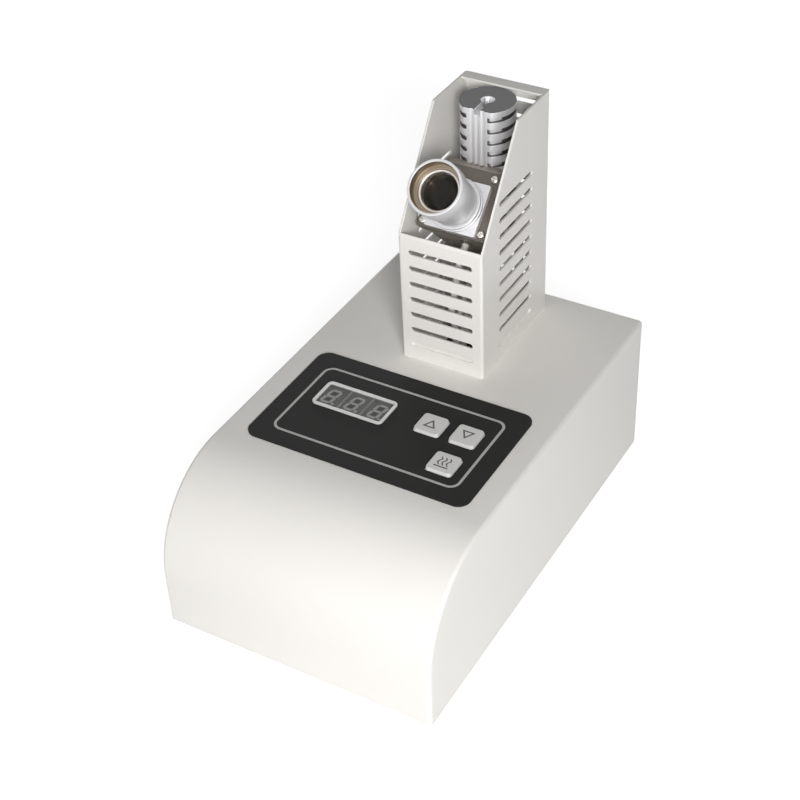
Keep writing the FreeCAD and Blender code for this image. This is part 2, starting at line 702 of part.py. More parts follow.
def make_rocker_frame():
    w, h = ROCKER_FRAME_W / 2, ROCKER_FRAME_H / 2
    y1 = REAR_Y + ROCKER_FRAME_T
    flange = box(ROCKER_X - w, ROCKER_X + w, REAR_Y, y1, ROCKER_Z - h, ROCKER_Z + h)
    w, h = ROCKER_BODY_W / 2, ROCKER_BODY_H / 2
    body = box(ROCKER_X - w, ROCKER_X + w, REAR_Y - ROCKER_BODY_D, REAR_Y, ROCKER_Z - h, ROCKER_Z + h)
    w, h = ROCKER_W / 2 + ROCKER_GAP, ROCKER_H / 2 + 2 * ROCKER_GAP
    floor = REAR_Y - ROCKER_ROOT - ROCKER_H / 2 * math.sin(math.radians(ROCKER_TILT)) - ROCKER_WELL_GAP
    well = box(ROCKER_X - w, ROCKER_X + w, floor, y1 + 1, ROCKER_Z - h, ROCKER_Z + h)
    reach = ROCKER_W / 2 + ROCKER_PIN_OUT + ROCKER_GAP
    pivot_r = ROCKER_PIN_R + ROCKER_PIN_GAP
    pivot = rod(pivot_r, (ROCKER_X - reach, REAR_Y, ROCKER_Z), (ROCKER_X + reach, REAR_Y, ROCKER_Z))
    return cut_all(flange.fuse(body).removeSplitter(), [well, pivot])


def make_rocker():
    """The paddle rests with its lower half pressed in, which is off."""
    h = ROCKER_H / 2
    outline = [
        (-ROCKER_ROOT, -h), (ROCKER_TIP, -h), (ROCKER_WAIST, 0), (ROCKER_TIP, h), (-ROCKER_ROOT, h),
    ]
    w = ROCKER_W / 2
    paddle = prism([(REAR_Y + y, ROCKER_Z + z) for y, z in outline], ROCKER_X - w, ROCKER_X + w)
    reach = w + ROCKER_PIN_OUT
    pin = rod(ROCKER_PIN_R, (ROCKER_X - reach, REAR_Y, ROCKER_Z), (ROCKER_X + reach, REAR_Y, ROCKER_Z))
    paddle = paddle.fuse(pin).removeSplitter()
    paddle.rotate(V(ROCKER_X, REAR_Y, ROCKER_Z), V(1, 0, 0), -ROCKER_TILT)
    return paddle


# Power board


def power_posts():
    dx, dy = POWER_W / 2 - POWER_POST_INSET, POWER_D / 2 - POWER_POST_INSET
    return [(POWER_X + sx * dx, POWER_Y + sy * dy) for sx in (-1, 1) for sy in (-1, 1)]


def make_power_board():
    board = block((POWER_W, POWER_D, BOARD_T), POWER_X, POWER_Y, POWER_TOP_Z - BOARD_T)
    return cut_all(board, [upright(SCREW_HOLE_R, x, y, POWER_TOP_Z - BOARD_T, POWER_TOP_Z) for x, y in power_posts()])


def make_power_post(x, y):
    post = upright(POWER_POST_R, x, y, FLOOR_Z, POWER_TOP_Z - BOARD_T)
    return post.cut(upright(SCREW_R, x, y, FLOOR_Z, POWER_TOP_Z - BOARD_T))


def power_screw(x, y):
    return screw(x, y, POWER_TOP_Z, BOARD_T + POWER_SCREW_BITE, up=False)


def power_floor_screw(x, y):
    return screw(x, y, FOOT_H, PLATE_T + POWER_SCREW_BITE, up=True)


def make_transformer():
    """A laminated core with its winding bulging out of both windows."""
    x, y = TRANSFORMER_AT
    w, d, h = TRANSFORMER
    core = block((w, CORE_STACK, h), x, y, POWER_TOP_Z)
    coil = block((BOBBIN_W, d, h - 2 * BOBBIN_GROW), x, y, POWER_TOP_Z + BOBBIN_GROW)
    return core.fuse(coil.makeFillet(BOBBIN_R, upright_edges(coil))).removeSplitter()


def make_heat_sink():
    x, y = SINK_AT
    w, d, h = SINK_SIZE
    front = y - d / 2
    base = box(x - w / 2, x + w / 2, front, front + SINK_BASE_T, POWER_TOP_Z, POWER_TOP_Z + h)
    step = (w - SINK_FIN_T) / (SINK_FINS - 1)
    fins = [
        box(x - w / 2 + i * step, x - w / 2 + i * step + SINK_FIN_T, front, y + d / 2, POWER_TOP_Z, POWER_TOP_Z + h)
        for i in range(SINK_FINS)
    ]
    return join(base, fins)


def make_triac():
    x, y = SINK_AT
    w, d, h = TRIAC_SIZE
    back = y - SINK_SIZE[1] / 2
    return box(x - w / 2, x + w / 2, back - d, back, POWER_TOP_Z, POWER_TOP_Z + h)


def make_terminal_block():
    body = block((TERMINAL_W, TERMINAL_D, TERMINAL_H), 0, GROMMET_Y, POWER_TOP_Z)
    ways = [
        upright(r + BORE_GAP, x, y, POWER_TOP_Z + TERMINAL_H - LEAD_SINK, POWER_TOP_Z + TERMINAL_H)
        for x, y, r in lead_ends()
    ]
    return cut_all(body, ways)


def lead_ends():
    """Where each lead goes through the grommet and into the terminal block: x, y, radius."""
    s = LEAD_SPREAD
    return [
        (-s, GROMMET_Y, LEAD_R),
        (s, GROMMET_Y, LEAD_R),
        (0, GROMMET_Y + s, SENSOR_LEAD_R),
        (0, GROMMET_Y - s, LAMP_LEAD_R),
    ]


# Guard and its collar


def make_guard():
    """One sheet folded round four corners: low slotted front, sloping side edges and a flanged back."""
    half = GUARD_W / 2
    z1 = TOP_Z + GUARD_H
    outer = box(-half, half, GUARD_Y0, GUARD_Y1, TOP_Z, z1)
    outer = outer.makeFillet(GUARD_BEND_R, upright_edges(outer))
    inner = box(-half + GUARD_T, half - GUARD_T, GUARD_Y0 + GUARD_T, GUARD_Y1 - GUARD_T, TOP_Z - 1, z1 + 1)
    inner = inner.makeFillet(GUARD_BEND_R - GUARD_T, upright_edges(inner))
    above = [
        (GUARD_Y0 - 1, TOP_Z + GUARD_FRONT_H),
        (GUARD_Y0, TOP_Z + GUARD_FRONT_H),
        (GUARD_SHOULDER_Y, z1),
        (GUARD_SHOULDER_Y, z1 + 1),
        (GUARD_Y0 - 1, z1 + 1),
    ]
    walls = outer.cut(inner).cut(prism(above, -half - 1, half + 1))
    inside = half - GUARD_T
    flange = box(-inside, inside, GUARD_Y1 - GUARD_FLANGE, GUARD_Y1 - GUARD_T / 2, z1 - GUARD_T, z1)
    walls = walls.fuse(flange.common(outer)).removeSplitter()
    middle_y = (GUARD_Y0 + GUARD_Y1) / 2
    cutters = []
    for i in range(BACK_SLOTS):
        z = TOP_Z + SLOT_FIRST + i * SLOT_PITCH
        cutters.append(lying_slot(SLOT_LEN, SLOT_H, 0, GUARD_Y1, z, "x", 2 * GUARD_T))
        if i < FRONT_SLOTS:
            cutters.append(lying_slot(SLOT_LEN, SLOT_H, 0, GUARD_Y0, z, "x", 2 * GUARD_T))
        if i < SIDE_SLOTS:
            cutters += [lying_slot(SLOT_LEN, SLOT_H, s * half, middle_y, z, "y", 2 * GUARD_T) for s in (-1, 1)]
    z = TOP_Z + GUARD_SCREW_RISE
    for s in (-1, 1):
        x = s * GUARD_SCREW_X
        cutters.append(rod(SCREW_HOLE_R, (x, GUARD_Y1 - 2 * GUARD_T, z), (x, GUARD_Y1 + 1, z)))
    return cut_all(walls, cutters)


def make_collar():
    """A shallow tray screwed to the top of the case, which the guard stands round."""
    half = GUARD_W / 2 - GUARD_T
    y0, y1 = GUARD_Y0 + GUARD_T, GUARD_Y1 - GUARD_T
    outer = box(-half, half, y0, y1, TOP_Z, TOP_Z + COLLAR_H)
    outer = outer.makeFillet(COLLAR_CORNER_R, upright_edges(outer))
    t = COLLAR_T
    inner = box(-half + t, half - t, y0 + t, y1 - t, TOP_Z + t, TOP_Z + COLLAR_H + 1)
    inner = inner.makeFillet(COLLAR_CORNER_R - t, upright_edges(inner))
    holes = [upright(SCREW_HOLE_R, x, y, TOP_Z - 1, TOP_Z + t + 1) for x, y in COLLAR_SCREWS + PILLAR_AT]
    holes.append(upright(GROMMET_HOLE_R, 0, GROMMET_Y, TOP_Z - 1, TOP_Z + t + 1))
    z = TOP_Z + GUARD_SCREW_RISE
    for s in (-1, 1):
        x = s * GUARD_SCREW_X
        holes.append(rod(SCREW_R, (x, y1 - 2 * t, z), (x, y1 + 1, z)))
    return cut_all(outer.cut(inner), holes)


def guard_screw(x):
    """Pan-head screw through the guard's back into the collar."""
    part = screw(x, 0, 0, GUARD_T + COLLAR_T + GUARD_SCREW_OUT, up=True)
    part.translate(V(-x, 0, 0))
    part.rotate(V(0, 0, 0), V(1, 0, 0), 90)
    part.translate(V(x, GUARD_Y1, TOP_Z + GUARD_SCREW_RISE))
    return part


def collar_screw(x, y):
    return screw(x, y, TOP_Z + COLLAR_T, COLLAR_T + SHEET + NUT_H, up=False)


def make_grommet():
    bottom, top = -SHEET - GROMMET_LIP, COLLAR_T + GROMMET_LIP
    neck = GROMMET_HOLE_R - GROMMET_GAP
    outline = [
        (GROMMET_BORE_R, bottom), (GROMMET_R - GROMMET_BEVEL, bottom), (GROMMET_R, -SHEET), (neck, -SHEET),
        (neck, COLLAR_T), (GROMMET_R, COLLAR_T), (GROMMET_R - GROMMET_BEVEL, top), (GROMMET_BORE_R, top),
    ]
    return turned(outline, 0, GROMMET_Y, TOP_Z)


# Oven


def make_core():
    """The finned heater core: fins at the sides and back, a plain front with three capillary guides."""
    z0, z1 = TOP_Z + OVEN_BASE, TOP_Z + CORE_TOP
    body = upright(CORE_R, 0, CORE_Y, z0, z1)
    floor_r = CORE_R - FIN_DEPTH
    gaps = []
    for i in range(FIN_COUNT):
        z = z1 - FIN_FIRST - i * FIN_PITCH
        if z - FIN_GAP < z0:
            break
        ring = upright(CORE_R + 1, 0, CORE_Y, z - FIN_GAP / 2, z + FIN_GAP / 2)
        gaps.append(ring.cut(upright(floor_r, 0, CORE_Y, z - FIN_GAP, z + FIN_GAP)))
    front = box(-2 * CORE_R, 2 * CORE_R, CORE_Y - 2 * CORE_R, CORE_Y - FIN_STOP, z0, z1)
    body = body.cut(gaps[0].multiFuse(gaps[1:]).cut(front))
    ledge = TOP_Z + LEDGE
    w = GUIDE_FLAT_W / 2
    cuts = [
        box(-2 * CORE_R, 2 * CORE_R, CORE_Y - 2 * CORE_R, CORE_FLAT_Y, z0 - 1, ledge),
        box(-w, w, CORE_Y - 2 * CORE_R, GUIDE_FLAT_Y, ledge, z1 + 1),
        upright(THERMOMETER_R, 0, CORE_Y, z1 - THERMOMETER_DEPTH, z1 + 1),
        turned([(0, -THERMOMETER_BEVEL), (THERMOMETER_R, -THERMOMETER_BEVEL),
                (THERMOMETER_R + 2 * THERMOMETER_BEVEL, THERMOMETER_BEVEL), (0, THERMOMETER_BEVEL)], 0, CORE_Y, z1),
        box(-CHANNEL_W / 2, CHANNEL_W / 2, GUIDE_FLAT_Y - 1, CORE_Y, z1 - CHANNEL_D, z1 + 1),
        upright(SENSOR_R + BORE_GAP, 0, SENSOR_Y, z0 - 1, z0 + SENSOR_LEN + BORE_END_GAP),
    ]
    cuts += [upright(GUIDE_R, x, CAPILLARY_Y, ledge, z1 + 1) for x in CAPILLARY_X]
    heater_end = z0 + HEATER_LEN + BORE_END_GAP
    cuts += [upright(HEATER_R + BORE_GAP, s * HEATER_X, HEATER_Y, z0 - 1, heater_end) for s in (-1, 1)]
    cuts += [upright(SCREW_R, s * CORE_SCREW[0], CORE_SCREW[1], z0 - 1, z0 + OVEN_SCREW_HOLE) for s in (-1, 1)]
    return cut_all(body, cuts)


def make_viewing_head():
    """The block in front of the core: capillary holes from its ledge, and a sight hole square to its slope."""
    z0, z1 = TOP_Z + OVEN_BASE, TOP_Z + LEDGE
    t = math.radians(LENS_TILT)
    v_top = (z1 - LENS_Z - FACE_N * math.cos(t)) / math.sin(t)
    n_low = (z0 - LENS_Z + NOSE_LOW * math.sin(t)) / math.cos(t)
    outline = [
        (CORE_FLAT_Y, z1), slope_point(v_top, FACE_N), slope_point(-NOSE_LOW, FACE_N),
        slope_point(-NOSE_LOW, n_low), (CORE_FLAT_Y, z0),
    ]
    body = prism(outline, -HEAD_W / 2, HEAD_W / 2)
    nose = box(-NOSE_HALF_W, NOSE_HALF_W, -NOSE_LOW, NOSE_HIGH, FACE_N - NOSE_T, FACE_N)
    body = body.fuse(tilted(nose)).removeSplitter()
    sight_end = -(CORE_FLAT_Y - LENS_Y) / math.sin(t) - 2 * VIEW_R
    cuts = [
        tilted(upright(SPIGOT_R + BORE_GAP, 0, 0, -MOUNT_T - SPIGOT_T - 1, FACE_N + 1)),
        tilted(upright(VIEW_R, 0, 0, sight_end, FACE_N + 1)),
        tilted(rod(LAMP_R + BORE_GAP, (LAMP_X, -NOSE_LOW - 1, -LAMP_DEPTH), (LAMP_X, 0, -LAMP_DEPTH))),
    ]
    cuts += [upright(CAPILLARY_R, x, CAPILLARY_Y, z1 - CAPILLARY_DEPTH, z1 + 1) for x in CAPILLARY_X]
    cuts += [upright(SCREW_R, s * HEAD_SCREW[0], HEAD_SCREW[1], z0 - 1, z0 + OVEN_SCREW_HOLE) for s in (-1, 1)]
    for x, v in PLATE_SCREWS:
        n_end = -MOUNT_T - PLATE_SCREW_LEN
        cuts += [tilted(upright(SCREW_R, s * x, v, n_end, FACE_N + 1)) for s in (-1, 1)]
    return cut_all(body, cuts)


def make_tilt_plate():
    """The dark plate between the viewing head and the magnifier's mount."""
    middle = (PLATE_HIGH - PLATE_LOW) / 2
    sheet = plate(2 * PLATE_HALF_W, PLATE_HIGH + PLATE_LOW, TILT_PLATE_R, 0, middle, FACE_N, -MOUNT_T)
    holes = [upright(SPIGOT_R + BORE_GAP, 0, 0, FACE_N - 1, 0)]
    holes += [upright(SCREW_HOLE_R, s * x, v, FACE_N - 1, 0) for x, v in PLATE_SCREWS for s in (-1, 1)]
    return tilted(cut_all(sheet, holes))


def make_plate_screws():
    return [
        tilted(screw(s * x, v, -MOUNT_T, PLATE_SCREW_LEN, up=False, head_r=PLATE_SCREW_HEAD_R))
        for x, v in PLATE_SCREWS
        for s in (-1, 1)
    ]


def make_lens_mount():
    """Square flange with two stepped rings outside and a spigot behind, bored for the eyepiece."""
    flange = plate(MOUNT_W, MOUNT_V, MOUNT_CORNER_R, 0, 0, -MOUNT_T, 0)
    first, second = RING_1_T, RING_1_T + RING_2_T
    outline = [(0, 0), (RING_1_R, 0), (RING_1_R, first), (RING_2_R, first), (RING_2_R, second), (0, second)]
    steps = turned(outline, 0, 0, 0)
    edges = [e for e in steps.Edges if len(e.Vertexes) == 1 and e.BoundBox.ZMin > first / 2]
    outer = [e for e in edges if abs(e.BoundBox.XMax - RING_1_R) < 0.01 or abs(e.BoundBox.ZMin - second) < 0.01]
    steps = steps.makeFillet(RING_EDGE_R, outer)
    spigot = upright(SPIGOT_R, 0, 0, -MOUNT_T - SPIGOT_T, -MOUNT_T)
    body = join(flange, [steps, spigot])
    return tilted(body.cut(upright(MOUNT_BORE_R, 0, 0, -MOUNT_T - SPIGOT_T - 1, second + 1)))


def make_eyepiece_tube():
    seat_r = LENS_R + LENS_GAP
    tail_r = MOUNT_BORE_R - TUBE_SLIDE_GAP
    shelf = TUBE_LEN - TUBE_MOUTH_DEPTH
    outline = [
        (tail_r, -TUBE_TAIL), (tail_r, TUBE_BASE), (TUBE_BASE_R, TUBE_BASE), (TUBE_WAIST_R, TUBE_WAIST),
        (TUBE_MOUTH_R, TUBE_FLARE), (TUBE_MOUTH_R, TUBE_LEN), (TUBE_MOUTH_BORE_R, TUBE_LEN),
        (TUBE_MOUTH_BORE_R, shelf), (seat_r, shelf), (seat_r, LENS_SEAT), (TUBE_BORE_R, LENS_SEAT),
        (TUBE_BORE_R, -TUBE_TAIL),
    ]
    return tilted(turned(outline, 0, 0, 0))


def make_lens():
    """A biconvex lens with a plain edge for its seat and its retaining ring."""
    z0, z1 = LENS_SEAT, LENS_SEAT + LENS_EDGE_T
    corners = [V(0, 0, z0 - LENS_DOME_H), V(LENS_DOME_R, 0, z0), V(LENS_R, 0, z0), V(LENS_R, 0, z1),
               V(LENS_DOME_R, 0, z1), V(0, 0, z1 + LENS_DOME_H)]
    bend_r = (LENS_DOME_R ** 2 + LENS_DOME_H ** 2) / (2 * LENS_DOME_H)
    half = LENS_DOME_R / 2
    sag = bend_r - math.sqrt(bend_r ** 2 - half ** 2)
    low = Part.Arc(corners[0], V(half, 0, z0 - LENS_DOME_H + sag), corners[1]).toShape()
    high = Part.Arc(corners[4], V(half, 0, z1 + LENS_DOME_H - sag), corners[5]).toShape()
    lines = [Part.LineSegment(corners[i], corners[(i + 1) % 6]).toShape() for i in (1, 2, 3, 5)]
    outline = Part.Wire([low] + lines[:3] + [high, lines[3]])
    return tilted(Part.Face(outline).revolve(V(0, 0, 0), V(0, 0, 1), 360))


def make_retainer():
    z0 = LENS_SEAT + LENS_EDGE_T
    ring = upright(LENS_R, 0, 0, z0, z0 + RETAINER_T)
    return tilted(ring.cut(upright(RETAINER_BORE_R, 0, 0, z0 - 1, z0 + RETAINER_T + 1)))


def make_lamp():
    """A small lamp in the underside of the viewing head, which lights the tips of the tubes."""
    v_face = -NOSE_LOW
    body = rod(LAMP_R, (LAMP_X, v_face, -LAMP_DEPTH), (LAMP_X, v_face + NOSE_LOW - VIEW_R, -LAMP_DEPTH))
    rim = rod(LAMP_RIM_R, (LAMP_X, v_face, -LAMP_DEPTH), (LAMP_X, v_face - LAMP_RIM_T, -LAMP_DEPTH))
    return tilted(body.fuse(rim).removeSplitter())


def make_heater(side):
    z0 = TOP_Z + OVEN_BASE
    return upright(HEATER_R, side * HEATER_X, HEATER_Y, z0 - HEATER_TAIL, z0 + HEATER_LEN)


def make_sensor():
    z0 = TOP_Z + OVEN_BASE
    return upright(SENSOR_R, 0, SENSOR_Y, z0 - HEATER_TAIL, z0 + SENSOR_LEN)


def make_carrier():
    z1 = TOP_Z + OVEN_BASE
    z0 = z1 - CARRIER_T
    middle = (CARRIER_Y0 + CARRIER_Y1) / 2
    sheet = plate(CARRIER_W, CARRIER_Y1 - CARRIER_Y0, CARRIER_R, 0, middle, z0, z1)
    holes = [upright(PILLAR_STUD_R, x, y, z0 - 1, z1 + 1) for x, y in PILLAR_AT]
    for x, y in (HEAD_SCREW, CORE_SCREW):
        holes += [upright(SCREW_HOLE_R, s * x, y, z0 - 1, z1 + 1) for s in (-1, 1)]
    holes += [upright(HEATER_R + FIT_GAP, s * HEATER_X, HEATER_Y, z0 - 1, z1 + 1) for s in (-1, 1)]
    holes.append(upright(SENSOR_R + FIT_GAP, 0, SENSOR_Y, z0 - 1, z1 + 1))
    return cut_all(sheet, holes)


def make_pillar(x, y):
    z1 = TOP_Z + OVEN_BASE
    body = upright(PILLAR_R, x, y, TOP_Z + COLLAR_T, z1 - CARRIER_T)
    body = body.fuse(upright(PILLAR_STUD_R, x, y, z1 - CARRIER_T, z1)).removeSplitter()
    return body.cut(upright(SCREW_R, x, y, TOP_Z + COLLAR_T, TOP_Z + COLLAR_T + PILLAR_HOLE))


def pillar_screw(x, y):
    return screw(x, y, UNDER_TOP_Z, SHEET + COLLAR_T + PILLAR_SCREW_BITE, up=True)


def oven_screw(x, y):
    return screw(x, y, TOP_Z + OVEN_BASE - CARRIER_T, CARRIER_T + OVEN_SCREW_BITE, up=True)


def make_leads():
    """Heater leads, sensor lead and lamp lead, from the oven down through the grommet."""
    start = TOP_Z + OVEN_BASE - HEATER_TAIL
    end_z = POWER_TOP_Z + TERMINAL_H - LEAD_SINK

    def from_core(x0, y0, x1, y1, r):
        return lead([
            (x0, y0, start), (x0, y0, start - LEAD_DROP), (x1, y1, TOP_Z + LEAD_RISE), (x1, y1, end_z)
        ], r)

    left, right, sensor_end, lamp_end = lead_ends()
    heaters = [from_core(s * HEATER_X, HEATER_Y, *end) for s, end in ((-1, left), (1, right))]
    sensor = from_core(0, SENSOR_Y, *sensor_end)
    x, y, r = lamp_end
    rim = -NOSE_LOW - LAMP_RIM_T
    exits = [(LAMP_X, *slope_point(rim - run, -LAMP_DEPTH)) for run in (0, LAMP_TAIL)]
    dx, dy, rise = LAMP_LEAD_SAG
    lamp = lead(exits + [(x + dx, y + dy, TOP_Z + rise), (x, y, TOP_Z + LEAD_RISE), (x, y, end_z)], r)
    return heaters, sensor, lamp


def build():
    os.makedirs("parts", exist_ok=True)
    save("case_shell", make_case_shell())
    save("chassis", make_chassis())
    save("feet", *[make_foot(x, y) for x, y in FOOT_AT])
    save("foot_screws", *[foot_screw(x, y) for x, y in FOOT_AT])
    save("foot_nuts", *[nut(x, y, FLOOR_Z, FLOOR_Z + NUT_H) for x, y in FOOT_AT])
    save("cover_screws", *[screw(x, y, FOOT_H, PLATE_T + SHEET + NUT_H, up=True) for x, y in LIP_SCREWS])
    save("cover_nuts", *[nut(x, y, LIP_TOP_Z, LIP_TOP_Z + NUT_H) for x, y in LIP_SCREWS])

    save("keypad_overlay", make_overlay())
    save("display_bezel", make_bezel())
    save("display_window", make_window())
    save("digit_modules", *make_digits())
    for name, (x, y) in KEYS.items():
        save("key_" + name, make_key(x, y))
        save("plunger_" + name, make_plunger(x, y))
    save("key_switches", *[make_switch(x, y) for x, y in KEYS.values()])
    save("control_board", make_control_board())
    save("board_posts", *[make_board_post(x, y) for x, y in board_posts()])
    save("board_screws", *[board_screw(x, y) for x, y in board_posts()])

    save("mains_inlet", make_inlet())
    save("inlet_pins", *pin_blocks())
    save("fuse_drawer", make_fuse_drawer())
    save("fuse", make_fuse())
    save("switch_frame", make_rocker_frame())
    save("power_rocker", make_rocker())

    save("power_board", make_power_board())
    save("power_posts", *[make_power_post(x, y) for x, y in power_posts()])
    save("power_board_screws", *[power_screw(x, y) for x, y in power_posts()])
    save("power_post_screws", *[power_floor_screw(x, y) for x, y in power_posts()])
    save("transformer", make_transformer())
    save("heat_sink", make_heat_sink())
    save("triac", make_triac())
    save("smoothing_capacitor", upright(CAP_R, CAP_AT[0], CAP_AT[1], POWER_TOP_Z, POWER_TOP_Z + CAP_H))
    save("terminal_block", make_terminal_block())

    save("guard", make_guard())
    save("guard_collar", make_collar())
    save("guard_screws", *[guard_screw(s * GUARD_SCREW_X) for s in (-1, 1)])
    save("collar_screws", *[collar_screw(x, y) for x, y in COLLAR_SCREWS])
    save("collar_nuts", *[nut(x, y, UNDER_TOP_Z - NUT_H, UNDER_TOP_Z) for x, y in COLLAR_SCREWS])
    save("lead_grommet", make_grommet())

    save("heater_core", make_core())
    save("viewing_head", make_viewing_head())
    save("tilt_plate", make_tilt_plate())
    save("tilt_plate_screws", *make_plate_screws())
    save("lens_mount", make_lens_mount())
    save("eyepiece_tube", make_eyepiece_tube())
    save("lens", make_lens())
    save("lens_retainer", make_retainer())
    save("sample_lamp", make_lamp())
    save("heater_cartridges", make_heater(-1), make_heater(1))
    save("temperature_sensor", make_sensor())
    save("oven_carrier", make_carrier())
    save("oven_screws", *[oven_screw(s * x, y) for x, y in (HEAD_SCREW, CORE_SCREW) for s in (-1, 1)])
    save("oven_pillars", *[make_pillar(x, y) for x, y in PILLAR_AT])
    save("pillar_screws", *[pillar_screw(x, y) for x, y in PILLAR_AT])
    heaters, sensor, lamp = make_leads()
    save("heater_leads", *heaters)
    save("sensor_lead", sensor)
    save("lamp_lead", lamp)


build()
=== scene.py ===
# %% [markdown]
# A melting point apparatus warms an aluminium block in which thin glass tubes stand, and a magnifier shows
# the powder in their tips as it melts. The model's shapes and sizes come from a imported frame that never
# changes. This lesson gives the frame its finishes, and adds the fine pieces that are easier to model as
# meshes: printed lines, display segments, key signs, cross recesses and the rounded rims of the magnifier.

import json
import math

import bmesh
import bpy
from mathutils import Matrix, Vector


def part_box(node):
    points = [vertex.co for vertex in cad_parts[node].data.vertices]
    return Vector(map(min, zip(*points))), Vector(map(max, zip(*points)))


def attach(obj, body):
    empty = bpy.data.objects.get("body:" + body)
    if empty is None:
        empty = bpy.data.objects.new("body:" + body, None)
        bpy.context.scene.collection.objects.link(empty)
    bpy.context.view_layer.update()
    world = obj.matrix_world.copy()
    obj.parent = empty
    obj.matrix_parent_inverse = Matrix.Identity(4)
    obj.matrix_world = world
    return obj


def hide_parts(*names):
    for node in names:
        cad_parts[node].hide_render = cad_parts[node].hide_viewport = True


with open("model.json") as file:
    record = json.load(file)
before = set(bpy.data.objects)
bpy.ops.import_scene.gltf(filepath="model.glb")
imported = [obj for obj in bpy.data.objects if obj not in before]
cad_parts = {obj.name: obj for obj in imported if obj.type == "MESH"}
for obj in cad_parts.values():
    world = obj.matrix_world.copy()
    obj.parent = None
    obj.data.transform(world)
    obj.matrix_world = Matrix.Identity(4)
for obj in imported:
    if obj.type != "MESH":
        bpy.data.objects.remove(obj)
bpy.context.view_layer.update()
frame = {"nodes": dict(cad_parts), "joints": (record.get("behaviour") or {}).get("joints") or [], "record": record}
nodes = frame["nodes"]
MM = 0.001

# %% [markdown]
# Everything is placed from the frame. The keypad lies on one flat plane, so the height of its film is enough
# for all that is printed on it. The magnifier leans, so its pieces are made upright round their own axis and
# tilted at the end: the focusing joint gives the axis, and the middle of the lens gives a point on it.

# %% Places taken from the frame
PANEL_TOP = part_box("keypad_overlay")[1].z
focus_joint = next(joint for joint in frame["joints"] if joint["name"] == "focus_slide")
LENS_AXIS = Vector(focus_joint["axis"]).normalized()
lens_low, lens_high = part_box("lens")
LENS_MIDDLE = (lens_low + lens_high) / 2
LENS_TURN = Vector((0, 0, 1)).rotation_difference(LENS_AXIS).to_matrix().to_4x4()
LENS_FRAME = Matrix.Translation(LENS_MIDDLE) @ LENS_TURN


def along_axis(node):
    """(distance from the lens along its axis, distance from the axis) of each corner of a node."""
    out = []
    for vertex in nodes[node].data.vertices:
        away = vertex.co - LENS_MIDDLE
        height = away.dot(LENS_AXIS)
        out.append((height, (away - height * LENS_AXIS).length))
    return out


TUBE = along_axis("eyepiece_tube")
MOUNT = along_axis("lens_mount")
TUBE_LOW = min(height for height, _ in TUBE)
TUBE_HIGH = max(height for height, _ in TUBE)
print("magnifier axis", tuple(LENS_AXIS), "tube from", TUBE_LOW, "to", TUBE_HIGH)

# %% [markdown]
# The photograph was taken from the right and above, with a long lens. The camera is set by what a
# photographer would note down: what it looks at, from how far, and how it is turned. It never shifts, so the
# other views of the model stay in the middle of their pictures.

# %% Camera
CAMERA_TARGET = Vector((-0.0275, 0.0347, 0.060))
CAMERA_DISTANCE = 0.9356
CAMERA_AZIMUTH = 31.54
CAMERA_ELEVATION = 38.13
CAMERA_ROLL = -2.73
CAMERA_LENS = 74.2


def add_camera():
    turn = (
        Matrix.Rotation(math.radians(CAMERA_AZIMUTH), 4, "Z")
        @ Matrix.Rotation(math.radians(90 - CAMERA_ELEVATION), 4, "X")
        @ Matrix.Rotation(math.radians(CAMERA_ROLL), 4, "Z")
    )
    bpy.ops.object.camera_add()
    camera = bpy.context.object
    camera.name = "photo_camera"
    camera.matrix_world = Matrix.Translation(CAMERA_TARGET) @ turn @ Matrix.Translation((0, 0, CAMERA_DISTANCE))
    camera.data.lens = CAMERA_LENS
    camera.data.sensor_width = 36.0
    camera.data.clip_start = 0.01
    bpy.context.scene.camera = camera
    return camera


camera = add_camera()
print("camera at", tuple(round(x, 4) for x in camera.matrix_world.translation))

# %% [markdown]
# The light is a plain studio's. A pale surround fills every side. One broad lamp hangs close by, in front and
# to the right, so the case grows darker towards its back, and the guard throws a soft shadow to the left. Two
# weak lamps, low in front and low behind, lift the upright faces. The floor and the surround look white to the
# camera and in metal and glass, but the surround lights the object only at a low level, so that its shapes stay
# clear.

# %% Light, surround and floor
FILL_LEVEL = 0.1
LAMPS = {  # place, width in metres, watts
    "main_lamp": (Vector((0.46, -0.63, 0.54)), 0.35, 7.3),
    "low_lamp": (Vector((-0.15, -1.2, 0.2)), 0.6, 1.9),
    "back_lamp": (Vector((-0.75, 1.1, 0.09)), 0.4, 3.3),
}
FLOOR_SIZE = 8.0
FLOOR_TONE = 0.85
FLOOR_LIFT = 0.8


def seen_level(tree, lighting, seen):
    """One level for light that falls on a surface, and another for camera, mirror and glass rays."""
    light = tree.nodes.new("ShaderNodeLightPath")
    direct = light.outputs["Is Camera Ray"]
    for ray in ("Is Glossy Ray", "Is Transmission Ray"):
        either = tree.nodes.new("ShaderNodeMath")
        either.operation = "MAXIMUM"
        tree.links.new(direct, either.inputs[0])
        tree.links.new(light.outputs[ray], either.inputs[1])
        direct = either.outputs[0]
    level = tree.nodes.new("ShaderNodeMapRange")
    level.inputs["To Min"].default_value = lighting
    level.inputs["To Max"].default_value = seen
    tree.links.new(direct, level.inputs["Value"])
    return level.outputs["Result"]


def set_surround():
    world = bpy.data.worlds.new("studio")
    bpy.context.scene.world = world
    world.use_nodes = True
    tree = world.node_tree
    background = tree.nodes["Background"]
    background.inputs["Color"].default_value = (1, 1, 1, 1)
    tree.links.new(seen_level(tree, FILL_LEVEL, 1.0), background.inputs["Strength"])


def add_lamp(name, place, size, watts):
    bpy.ops.object.light_add(type="AREA", location=place)
    lamp = bpy.context.object
    lamp.name = name
    lamp.data.shape = "DISK"
    lamp.data.size = size
    lamp.data.energy = watts
    lamp.rotation_euler = (place - CAMERA_TARGET).to_track_quat("Z", "Y").to_euler()


